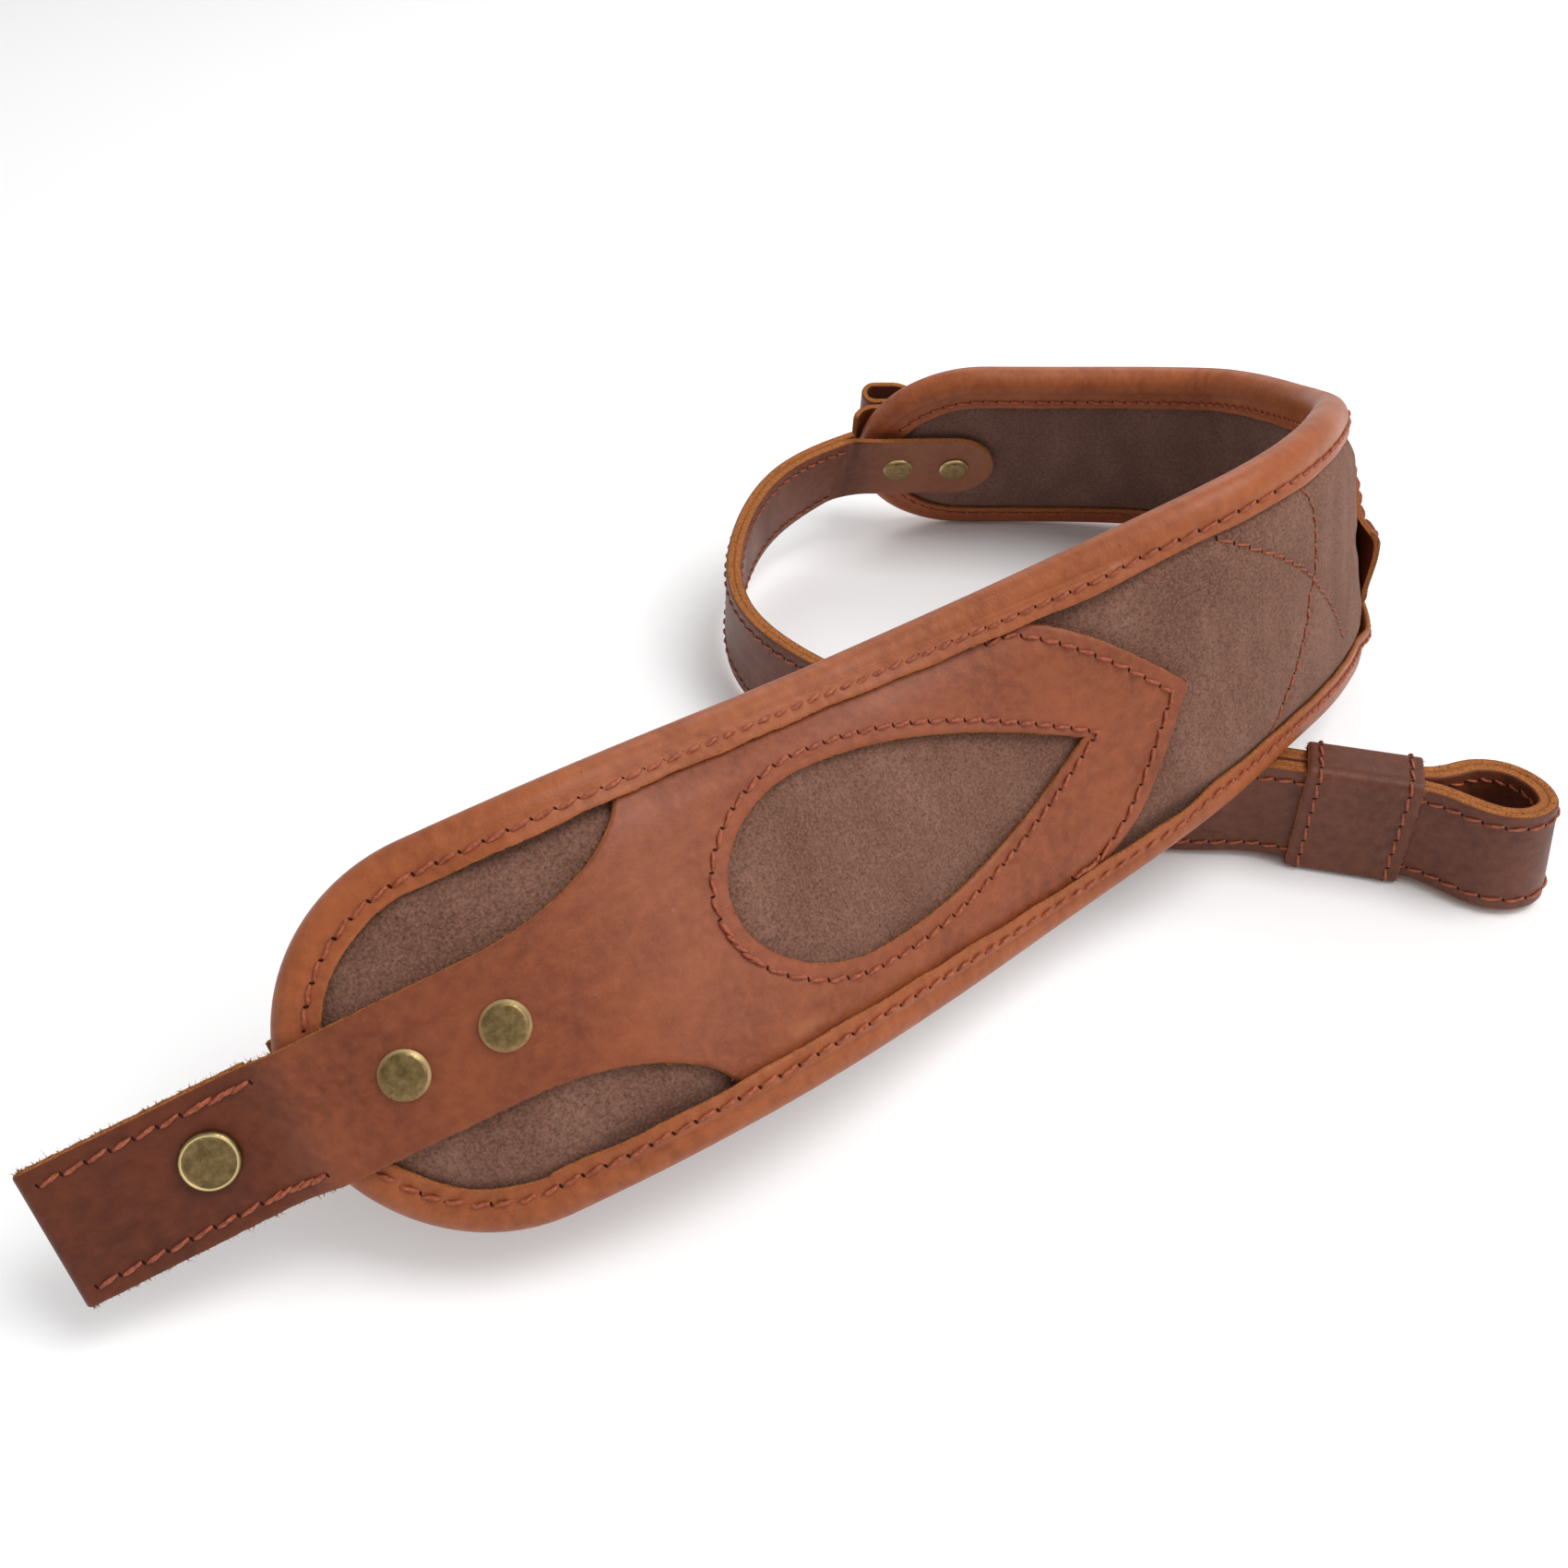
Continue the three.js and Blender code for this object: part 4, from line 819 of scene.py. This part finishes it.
def far_yoke():
    marks = [WINDOW_FROM, WINDOW_FROM + 0.3, WINDOW_FROM + 1.1, WINDOW_TIP, ARROW_TIP]
    m = np.unique(np.concatenate([np.arange(MIRROR_SUM - WRAP_CENTRE, ARROW_TIP, 1.1), marks]))
    u, w = yoke_rows(m)
    wrap = WRAP_CENTRE + np.array([7.5, 6, 4.5, 3, 1.5])
    s = np.vstack([each_column(wrap, u), each_column(MIRROR_SUM - m, u)])
    u = np.vstack([np.repeat(u[:1], len(wrap), 0), u])
    w = np.concatenate([np.zeros(len(wrap)), w])
    beneath = np.where(s > WRAP_CENTRE, STRAP_LEVEL, yoke_under(s, u))
    low, top = end_wrap_place(s, u, beneath), end_wrap_place(s, u, beneath + STRAP_LEATHER)
    middle = u.shape[1] // 2 - 1

    def opened(i, j):
        return j == middle and (w[i] > 0 or w[min(i + 1, len(w) - 1)] > 0)

    flat = np.stack([s, u], axis=2)
    return thick_piece("far_yoke", flat, top, low, [YOKE_LEATHER], opened, fuzz=1.0)


def rounded_end(straight, rounded, step):
    """Distances along a tab with a round end, and its half width there."""
    towards = np.sign(rounded - straight)
    centre = rounded - towards * STRAP_HALF
    angles = np.radians(np.array([10, 20, 30, 40, 50, 60, 68, 75, 81, 86, 90]))
    s = np.concatenate([np.arange(straight, centre, towards * step), [centre],
                        centre + towards * STRAP_HALF * np.sin(angles)])
    h = np.concatenate([np.full(len(s) - len(angles), STRAP_HALF), STRAP_HALF * np.cos(angles)])
    return s, h


def tab_columns(h):
    upper = across_columns(np.zeros(len(h)), h, 9)[:, 2:]
    return np.column_stack([-upper[:, ::-1], np.zeros(len(h)), upper])


def front_tab():
    s, h = rounded_end(CREASE, TAB_NEAR_END, 1.3)
    u = tab_columns(h)
    flat = flat_grid(s, u)
    top, low = (pad_place(flat[..., 0], u, -level) for level in (TAB_LEVEL + STRAP_LEATHER, TAB_LEVEL))
    return thick_piece("front_tab", flat, top, low, [YOKE_LEATHER], fuzz=0.8, rounding=0.3)


def tail_lining():
    """One length: the tab riveted to the lining, the crease at the pad's end, the tail's inner face."""
    tab_step, bridge_rows = 1.3, 12
    tab_end = PAD_TO - 4
    s, h = rounded_end(tab_end, TAB_FAR_END, tab_step)
    s, u_tab = s[::-1], tab_columns(h[::-1])
    s2 = each_column(s, u_tab)
    rise = 0.5 * smooth((s2 - 520) / 20)
    tab_top = pad_place(s2, u_tab, -(TAB_LEVEL + STRAP_LEATHER + rise))
    tab_low = pad_place(s2, u_tab, -TAB_LEVEL - rise)
    run = np.arange(7.0, tail.length, CUT_STEP)
    run[-1] = tail.length
    u_tail = tab_columns(np.full(len(run), TAIL_HALF))
    r2 = each_column(run, u_tail)
    tail_top, tail_low = tail_place(r2, u_tail, -TAIL_OUT), tail_place(r2, u_tail, -PLY_GAP)
    t = np.linspace(0, 1, bridge_rows + 2)[1:-1, None, None]

    def bridge(before, after):
        """Rows of a smooth curve that leaves one grid and meets the next in its own direction."""
        a, b = before[-1], after[0]
        spans = bridge_rows + 1
        go, come = (a - before[-2]) / tab_step * spans, (after[1] - b) / CUT_STEP * spans
        h00, h10 = 2 * t**3 - 3 * t**2 + 1, t**3 - 2 * t**2 + t
        return a * h00 + go * h10 + b * (1 - h00) + come * (t**3 - t**2)

    q = np.concatenate([s, tab_end + np.arange(1, bridge_rows + 1) * CUT_STEP, PAD_TO + 12 + run])
    u = np.vstack([u_tab, np.repeat(u_tail[:1], bridge_rows, 0), u_tail])
    top = np.vstack([tab_top, bridge(tab_top, tail_top), tail_top])
    low = np.vstack([tab_low, bridge(tab_low, tail_low), tail_low])

    # Painted light lightens the tab and painted shade darkens the crease.
    def wear_and_painted_light(v, w):
        return 0.5 * smooth((548 - v) / 14) - 0.5 * np.exp(-(((v - 551) / 2.5) ** 2))

    flat = flat_grid(q, u)
    return thick_piece("tail_lining", flat, top, low, [LOOP_MAT], fuzz=1.6, rough=0.2, wear_and_painted_light=wear_and_painted_light)


def band_piece(name, path, half, thick, place, material, fuzz=1.0, rough=0.14):
    """Leather that follows a path of (s, n, normal s, normal n) in the long section of a strap."""
    path = np.array(path, float)
    u = np.repeat(across_columns(np.array([-half]), np.array([half]), 25), len(path), 0)
    s, n, ns, nn = (path[:, k:k + 1] for k in range(4))
    low = place(s, u, n)
    top = place(s + ns * thick, u, n + nn * thick)
    q = distances(place(s + ns * thick / 2, u * 0, n + nn * thick / 2)[:, 0] / MM)
    return thick_piece(name, flat_grid(q, u), top, low, [material], rough=rough, fuzz=fuzz)


def rear_loop():
    low = STRAP_LEVEL + STRAP_LEATHER + GAP + STRAP_LEATHER
    opening = 5.4
    radius = opening / 2
    marks = np.arange(503, 541, 1.2)
    upper = low + GAP + (opening - GAP) * smooth((marks - 521) / 14)
    path = [(s, n, 0, 1) for s, n in zip(marks, upper)]
    for degrees in np.arange(0, 181, 10):
        a = math.radians(degrees)
        across, out = math.sin(a), math.cos(a)
        path.append((541 + radius * across, low + radius + radius * out, across, out))
    path += [(s, low, 0, -1) for s in marks[::-1]]
    return band_piece("rear_loop", path, STRAP_HALF, STRAP_LEATHER, pad_place, LOOP_MAT)


def tail_outer():
    path = [(s, PLY_GAP, 0, 1) for s in np.arange(TAIL_FROM, tail.length, CUT_STEP)]
    return band_piece("tail_outer", path, TAIL_HALF, TAIL_OUT - PLY_GAP, tail_place, STRAP_MAT,
                      fuzz=1.6, rough=0.2)


# the keeper's own frame on the doubled run
KEEPER_YAW, KEEPER_LEAN = math.atan2(-0.259, 0.966), math.radians(-3)
KEEPER_MIDDLE = np.array([145.2, 310.8, 16.4]) - ORIGIN


def keeper_place(t, u, n):
    t, u, n = np.broadcast_arrays(np.asarray(t, float), u, n)
    along = np.array([math.cos(KEEPER_YAW), math.sin(KEEPER_YAW), 0.0])
    side = np.cross([0.0, 0.0, 1.0], along)
    across = np.array([0, 0, math.cos(KEEPER_LEAN)]) + side * math.sin(KEEPER_LEAN)
    out = np.cross(along, across)
    p = KEEPER_MIDDLE + along * t[..., None] + across * u[..., None] + out * n[..., None]
    return p * MM


def keeper_ring(layer):
    """The keeper's rounded section as points (u, n), layer mm out from its inside."""
    clear, round_in = 0.35, 0.7
    half_u = TAIL_HALF + clear
    front, back = TAIL_OUT + clear, -(RUN_SPACING + TAIL_OUT + clear)
    middle, half_n = (front + back) / 2, (front - back) / 2
    ring = []
    for quarter, (su, sn) in enumerate([(1, 1), (-1, 1), (-1, -1), (1, -1)]):
        centre = (su * (half_u - round_in), middle + sn * (half_n - round_in))
        for step in range(7):
            a = math.pi / 2 * (quarter + step / 6)
            reach = round_in + layer
            ring.append((centre[0] + reach * math.cos(a), centre[1] + reach * math.sin(a)))
    ring = np.array(ring + ring[:1])
    dense = [ring[0]]
    for a, b in zip(ring, ring[1:]):
        pieces = max(1, int(np.hypot(*(b - a)) / 1.3))
        dense += [a + (b - a) * (k + 1) / pieces for k in range(pieces)]
    return np.array(dense)


def resized(ring, count):
    """The same closed ring with count points."""
    share, spread = np.linspace(0, 1, count), np.linspace(0, 1, len(ring))
    return np.column_stack([np.interp(share, spread, ring[:, k]) for k in range(2)])


def keeper():
    inner = keeper_ring(0)
    outer = resized(keeper_ring(KEEPER_LEATHER), len(inner))
    t_row = across_columns(np.array([-KEEPER_LENGTH / 2]), np.array([KEEPER_LENGTH / 2]), 23)
    t = np.repeat(t_row, len(inner), 0)
    low = keeper_place(t, inner[:, :1], inner[:, 1:])
    top = keeper_place(t, outer[:, :1], outer[:, 1:])
    q = distances(outer)
    q[-1] = 0
    return thick_piece("keeper", flat_grid(q, t), top, low, [STRAP_MAT], rough=0.16, fuzz=2.0)


# ---------- stitching ----------
def resample(path, distance):
    """Points at the given distances along a path."""
    steps = distances(path)
    return np.column_stack([np.interp(distance, steps, path[:, k]) for k in range(2)])


def stitch_row(name, path, level, place, thread=THREAD, pitch=STITCH, tacked=False):
    """Twisted lockstitches along a flat path, diving into needle holes; tacks double the last three."""
    t = np.linspace(0, 1, 11)
    theta = np.linspace(0, 2 * math.pi, 9)[:-1]
    cos, sin = np.cos(theta), np.sin(theta)

    def surface(points, lift):
        s, u = points[..., 0], points[..., 1]
        return place(s, u, level(s, u) + lift)

    length = distances(path)[-1]
    count = max(1, int(round(length / pitch)))
    step = length / count
    starts, lift = np.arange(count) * step, np.zeros(count)
    if tacked:
        starts = np.concatenate([starts, starts[-3:] + 0.4 * step])
        lift = np.concatenate([lift, np.full(3, 0.35)])
    starts = np.minimum(starts, length - step)
    w = starts[:, None] + step * (0.07 + 0.86 * t)[None, :]
    middle = resample(path, w.ravel()).reshape(len(starts), len(t), 2)
    ahead = resample(path, np.minimum(w + 0.1, length).ravel()).reshape(middle.shape)
    way = unit(ahead - middle + 1e-9)
    side = np.stack([-way[..., 1], way[..., 0]], axis=2)
    lean = STITCH_LEAN * (2 * t - 1)[None, :, None]
    wander = rng.normal(0, 0.06, (len(starts), 1, 1))
    middle = middle + side * (lean + wander)
    rise = -0.5 * thread - 0.1 + (1.35 * thread + 0.1) * np.sin(math.pi * t) ** 0.45
    centre = surface(middle, rise[None, :] + lift[:, None])
    above = surface(middle, rise[None, :] + lift[:, None] + 0.2)
    along = unit(np.gradient(centre, axis=1))
    cross = unit(np.cross(along, unit(above - centre)))
    up = np.cross(cross, along)
    twist = 2 * math.pi * 0.75 * t[None, :, None] + rng.uniform(0, 3, (len(starts), 1, 1))
    plump = 0.72 + 0.34 * np.abs(np.cos(theta[None, None, :] - twist))
    taper = (0.55 + 0.45 * np.sin(math.pi * t) ** 0.5)[None, :, None]
    radius = thread * MM * plump * taper
    ring = centre[:, :, None, :] + cross[:, :, None, :] * (radius * cos)[..., None]
    ring = ring + up[:, :, None, :] * (radius * sin)[..., None]
    shape = ring.shape[:3]
    spot = np.stack([np.broadcast_to(w[:, :, None], shape), np.broadcast_to(theta * thread, shape),
                     np.broadcast_to((starts * 3.7)[:, None, None], shape)], axis=3)
    # a needle hole at each end of every stitch: a small dark disc set into the leather, painted shade for
    # the hole
    at = np.arange(count + 1) * step
    hole = resample(path, at)
    way = unit(resample(path, np.minimum(at + 0.1, length)) - resample(path, np.maximum(at - 0.1, 0)))
    side = np.stack([-way[:, 1], way[:, 0]], axis=1)
    disc = hole[:, None, :] + side[:, None, :] * (HOLE_ACROSS * cos)[None, :, None]
    oval = way[:, None, :] * HOLE_ALONG - side[:, None, :] * HOLE_SKEW
    disc = disc + oval * sin[None, :, None]
    pits = np.stack([surface(disc, -0.25), surface(disc, 0.05)], axis=1)
    threads = closed_tubes(np.arange(ring.size // 3).reshape(shape))
    holes = closed_tubes(ring.size // 3 + np.arange(pits.size // 3).reshape(pits.shape[:3]))
    points = np.vstack([ring.reshape(-1, 3), pits.reshape(-1, 3)])
    flat = np.vstack([spot.reshape(-1, 3), pits.reshape(-1, 3) / MM])
    return make_object(name, points, threads + holes, [THREAD_MAT, HOLE_SHADE_MAT], flat, np.zeros(len(points)),
                       which=[0] * len(threads) + [1] * len(holes))


def binding_row(d, side):
    """The seam round one side of the pad, clear of the straps over its ends."""
    walk = outline_walk(0.8)
    s, u = walk_points(walk, d)
    keep = (u * side > 0) & ((np.abs(u) > STRAP_HALF + 0.6) | ((s > 40) & (s < 505)))
    order = np.argsort(s[keep] + 1e-3 * np.abs(u[keep]))
    return np.column_stack([s[keep], u[keep]])[order]


def add_binding_seams():
    def outside(s, u):
        return binding_top(s, np.full(np.shape(s), BINDING_SEAM - 0.1)) - 0.2

    def inside(s, u):
        return binding_bottom(INNER_SEAM) - 0.2 + 0 * s

    kinds = (("binding_seam", BINDING_SEAM, outside, pad_place),
             ("lining_seam", INNER_SEAM, inside, under(pad_place)))
    for side, which in ((1, "upper"), (-1, "lower")):
        for name, d, level, place in kinds:
            seam = stitch_row(f"{name}_{which}", binding_row(d, side), level, place, pitch=BINDING_PITCH)
            finish_piece(seam, "pad", "thread", f"{name}_{which}")


def point_row():
    tip = ARROW_TIP - SEAM_INSET - 0.3
    s = np.linspace(172, tip, 60)
    u = np.minimum(yoke_half(np.minimum(s + 3.2, ARROW_TIP)) - 1.6, HALF - OUTER_LAP - 0.9)
    u = np.maximum(u, 0)
    u[-1] = 0
    upper = np.column_stack([s, u])
    return np.vstack([upper, upper[::-1][1:] * [1, -1]])


def window_row():
    start, tip = WINDOW_FROM - SEAM_INSET * 1.1, WINDOW_TIP + SEAM_INSET
    a = np.linspace(0, 1, 40)
    s = np.concatenate([start + (WINDOW_WIDEST - start) * (1 - np.cos(a * math.pi / 2)),
                        np.linspace(WINDOW_WIDEST, tip, 60)[1:]])
    upper = np.column_stack([s, window_half(s, SEAM_INSET)])
    lower = upper[::-1] * [1, -1]
    return np.vstack([upper, lower[1:]])


def add_yoke_seams():
    def top(s, u):
        return yoke_under(s, u) + STRAP_LEATHER

    for name, flip in (("front_yoke", False), ("far_yoke", True)):
        for kind, row in (("point", point_row()), ("window", window_row())):
            path = row * [-1, 1] + [MIRROR_SUM, 0] if flip else row
            seam = stitch_row(f"{name}_{kind}_seam", path, top, pad_place, tacked=True)
            finish_piece(seam, "pad", "thread", f"{name}_{kind}_seam")


def add_quilting():
    line = np.array([[231.0, 28.3], [291.0, -21.5]])
    line = resample(line, np.linspace(0, 76, 60))
    u = np.linspace(29, -28, 60)
    curve = np.column_stack([quilting_curve(u), u])
    kinds = (("quilting_slanted", line, ["quilting_slanted"]), ("quilting_curved", curve, []))
    for name, path, nodes in kinds:
        seam = stitch_row(name, path, suede_level, pad_place, thread=QUILT_THREAD, pitch=QUILT_PITCH)
        finish_piece(seam, "pad", "thread", *nodes)


def add_strap_seams():
    def top(s, v):
        return np.where(s < -9, LOOP_LEVEL + GAP / 2, yoke_under(s, v)) + STRAP_LEATHER

    def place(s, v, n):
        back = np.asarray(s)[..., None] < CREASE
        return np.where(back, loop_place(s, v, n), pad_place(s, v, n))

    low = LOOP_LEVEL - GAP / 2 - STRAP_LEATHER
    for side, which, stop in ((1, "upper", -4), (-1, "lower", 1)):
        row = np.column_stack([np.linspace(-45.5, stop, 40), np.full(40, side * (STRAP_HALF - SEAM_INSET))])
        seam = stitch_row(f"front_loop_seam_{which}", row, top, place, tacked=True)
        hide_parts(f"front_loop_seam_{which}")
        bend_at_crease(seam)
        back = stitch_row(f"front_loop_back_seam_{which}", row[row[:, 0] < -6],
                          lambda s, v: -low + 0 * s, under(loop_place))
        finish_piece(back, "front_loop", "thread")
        v = side * (TAIL_HALF - SEAM_INSET)
        run = np.column_stack([np.linspace(6, tail.length - 3, 500), np.full(500, v)])
        for name, onto, nodes in ((f"tail_seam_{which}", under(tail_place), [f"tail_seam_{which}"]),
                                  (f"tail_outer_seam_{which}", tail_place, [])):
            seam = stitch_row(name, run, lambda s, w: TAIL_OUT + 0 * s, onto, thread=FINE_THREAD)
            finish_piece(seam, "pad", "thread", *nodes)


def add_keeper_seams():
    ring = keeper_ring(KEEPER_LEATHER)
    q = distances(ring)
    ring_in = resized(keeper_ring(KEEPER_LEATHER - 1), len(ring))

    def place(w, t, n):
        u, out = (np.interp(w, q, ring[:, k]) * (1 + n) - np.interp(w, q, ring_in[:, k]) * n
                  for k in range(2))
        return keeper_place(t, u, out)

    for side, which in ((1, "right"), (-1, "left")):
        row = np.column_stack([np.linspace(0, q[-1], 200), np.full(200, side * (KEEPER_LENGTH / 2 - 2.9))])
        seam = stitch_row(f"keeper_seam_{which}", row, lambda s, u: 0 * s, place, thread=FINE_THREAD)
        finish_piece(seam, "keeper", "thread")


# ---------- brass ----------
def lathe_piece(name, profile, place, s, u, level, segments=56):
    """A turned brass piece standing square to the leather; profile is (radius, height, polish)."""
    profile = np.array(profile, float)
    base = place(s, u, level)
    along = unit(place(s + 0.5, u, level) - base)
    across = place(s, u + 0.5, level) - base
    axis = unit(np.cross(along, across))
    if float(axis @ (place(s, u, level + 1) - base)) < 0:
        axis = -axis
    side = unit(np.cross(axis, along))
    turn = np.linspace(0, 2 * math.pi, segments + 1)[:-1]
    ring = np.cos(turn)[:, None] * along + np.sin(turn)[:, None] * side
    points, flat, edge = [], [], []
    for r, h, polish in profile[1:-1]:
        points.append(base + ring * r * MM + axis * h * MM)
        flat.append(np.column_stack([np.cos(turn) * r, np.sin(turn) * r, np.full(segments, h)]))
        edge.append(np.full(segments, polish))
    total = (len(profile) - 2) * segments
    points += [(base + axis * profile[0][1] * MM)[None], (base + axis * profile[-1][1] * MM)[None]]
    flat += [np.array([[0, 0, profile[0][1]]]), np.array([[0, 0, profile[-1][1]]])]
    edge += [np.array([profile[0][2]]), np.array([profile[-1][2]])]
    faces = []
    for i in range(len(profile) - 3):
        for j in range(segments):
            k = (j + 1) % segments
            a, b = i * segments, (i + 1) * segments
            faces.append([a + j, a + k, b + k, b + j])
    last = (len(profile) - 3) * segments
    for j in range(segments):
        k = (j + 1) % segments
        faces.append([total, k, j])
        faces.append([last + j, last + k, total + 1])
    points, flat = np.vstack(points), np.vstack(flat) + [s, u, 0]
    faces = faces_out(points, faces)
    return make_object(name, points, faces, [BRASS_MAT], flat, np.concatenate(edge))


def dome(radius, height, stem, length):
    """Profile of a domed cap on its stem, from the stem's foot to the crown."""
    profile = [(0, -length, 0), (stem, -length, 0), (stem, -0.05, 0), (radius - 0.5, 0, 0)]
    profile += [(radius - 0.12, 0.08, 0.3), (radius, 0.35, 0.9)]
    profile += [(radius - 0.1, 0.62, 1.0), (radius - 0.38, 0.86, 0.75)]
    profile += [(radius * c, 0.95 + (height - 0.95) * math.sqrt(1 - c * c) ** 0.8, 0.25 * c)
                for c in (0.86, 0.76, 0.62, 0.46, 0.3, 0.15)]
    return profile + [(0, height, 0)]


def flat_cap(radius, stem, length):
    """Profile of the stud: a flat face inside a raised polished rim."""
    profile = [(0, -length, 0), (stem, -length, 0), (stem, -0.05, 0), (radius - 0.5, 0, 0)]
    profile += [(radius, 0.3, 0.35), (radius + 0.02, 1.1, 0.1)]
    profile += [(radius - 0.12, 1.6, 0.15), (radius - 0.46, 1.92, 0.3)]
    profile += [(radius - 0.66, 2.02, 0.9), (radius - 0.8, 2.0, 1.0), (radius - 0.92, 1.88, 0.1)]
    profile += [(radius * c, 1.72 + 0.16 * (1 - c), 0) for c in (0.75, 0.6, 0.4, 0.2)]
    return profile + [(0, 1.9, 0)]


def add_rivets():
    back = TAB_LEVEL + STRAP_LEATHER + GAP
    top = STRAP_LEVEL + STRAP_LEATHER + GAP
    levels = {"front_rivet_1": top, "front_rivet_2": top,
              "far_rivet_1": top + STRAP_LEATHER + GAP, "far_rivet_2": top + 2 * (STRAP_LEATHER + GAP)}
    for (name, level), s in zip(levels.items(), RIVETS_NEAR + RIVETS_FAR):
        profile = dome(RIVET_RADIUS, RIVET_HEIGHT, RIVET_STEM, level + back - 0.4)
        cap = lathe_piece(f"{name}_cap", profile, pad_place, s, 0, level - 0.25)
        finish_piece(cap, "pad", "brass", f"{name}_cap")
        profile = dome(RIVET_RADIUS, RIVET_HEIGHT, RIVET_STEM, 0.3)
        foot = lathe_piece(f"{name}_back", profile, under(pad_place), s, 0, back - 0.25)
        finish_piece(foot, "pad", "brass", f"{name}_back")
    profile = flat_cap(STUD_RADIUS, 2, 2 * STRAP_LEATHER + GAP)
    level = LOOP_LEVEL + GAP / 2 + STRAP_LEATHER
    stud = lathe_piece("stud_cap", profile, loop_place, STUD_AT, 1, level)
    finish_piece(stud, "stud", "brass", "stud_cap")
    level = -(LOOP_LEVEL - GAP / 2 - STRAP_LEATHER)
    foot = lathe_piece("stud_back", dome(5, 1.4, 2, 0.2), under(loop_place), STUD_AT, 1, level)
    finish_piece(foot, "stud", "brass", "stud_back")


def bend_at_crease(obj):
    """Bakes the object's transform into its mesh; the crease points start and end are worked out but not
    used.
    """
    start = pad_place(3.0, 0.0, 4.0)
    end = loop_place(-9.0, 0.0, 3.3)
    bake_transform(obj)


# ---------- studio ----------
def add_camera():
    data = bpy.data.cameras.new("camera")
    data.lens = 35.47
    data.sensor_width = 36
    data.clip_start = 0.01
    camera = add_to_scene("camera", data)
    camera.location = (-ORIGIN[0] * MM, -ORIGIN[1] * MM, (CAMERA_HEIGHT - ORIGIN[2]) * MM)
    camera.rotation_euler = (math.radians(90 - CAMERA_PITCH), 0, 0)
    bpy.context.scene.camera = camera


def add_floor():
    mesh = bpy.data.meshes.new("floor")
    size = 6.0
    corners = [(-size, -size, 0), (size, -size, 0), (size, size, 0), (-size, size, 0)]
    mesh.from_pydata(corners, [], [(0, 1, 2, 3)])
    floor = add_to_scene("floor", mesh)
    k = Shader("floor")
    where = k.node("ShaderNodeTexCoord").outputs["Object"]
    tone = k.mix(k.noise(where, 3.0), (0.94, 0.94, 0.94, 1), (0.96, 0.96, 0.96, 1))
    normal = k.bump(k.noise(where, 40.0), 0.0001, 0.1)
    mesh.materials.append(k.finish(tone, 0.9, normal, Specular_IOR_Level=0.1))


def add_light(name, place, aim, size, power):
    data = bpy.data.lights.new(name, "AREA")
    data.shape = "SQUARE"
    data.size = size
    data.energy = power
    lamp = add_to_scene(name, data)
    lamp.location = place
    direction = np.array(aim) - np.array(place)
    yaw = math.atan2(direction[1], direction[0])
    pitch = math.atan2(direction[2], math.hypot(direction[0], direction[1]))
    lamp.rotation_euler = (pitch + math.pi / 2, 0, yaw - math.pi / 2)


def add_studio():
    add_camera()
    add_floor()
    world = bpy.data.worlds.new("studio")
    world.use_nodes = True
    background = world.node_tree.nodes["Background"]
    background.inputs["Color"].default_value = (1, 1, 1, 1)
    background.inputs["Strength"].default_value = 0.62
    bpy.context.scene.world = world
    bpy.context.scene.view_settings.view_transform = "Standard"
    add_light("key", (0.7, -0.2, 1.5), (0.05, 0, 0.03), 0.9, 15)
    add_light("fill", (1.2, -0.9, 0.9), (0, 0, 0.03), 1.0, 5)
    add_light("back", (0.1, 1.4, 1.2), (0, 0, 0.03), 0.9, 6)


add_studio()

outer = finish_piece(suede_face("outer_suede", False), "pad", "suede", "outer_suede")
inner = finish_piece(suede_face("inner_suede", True), "pad", "suede", "inner_suede")
foam = finish_piece(foam_core(), "pad", "foam", "padding")
finish_piece(edge_binding(), "pad", "binding_leather", "edge_binding")
strap = front_strap()
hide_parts("front_yoke", "front_loop")
bend_at_crease(strap)
finish_piece(far_yoke(), "pad", "yoke_leather", "far_yoke")
finish_piece(front_tab(), "pad", "yoke_leather", "front_tab")
finish_piece(rear_loop(), "pad", "strap_leather", "rear_loop")
finish_piece(tail_outer(), "pad", "strap_leather", "tail_outer")
finish_piece(tail_lining(), "pad", "strap_leather", "tail_lining", "far_tab")
finish_piece(keeper(), "keeper", "strap_leather", "keeper")
add_rivets()
add_binding_seams()
add_yoke_seams()
add_quilting()
add_strap_seams()
add_keeper_seams()
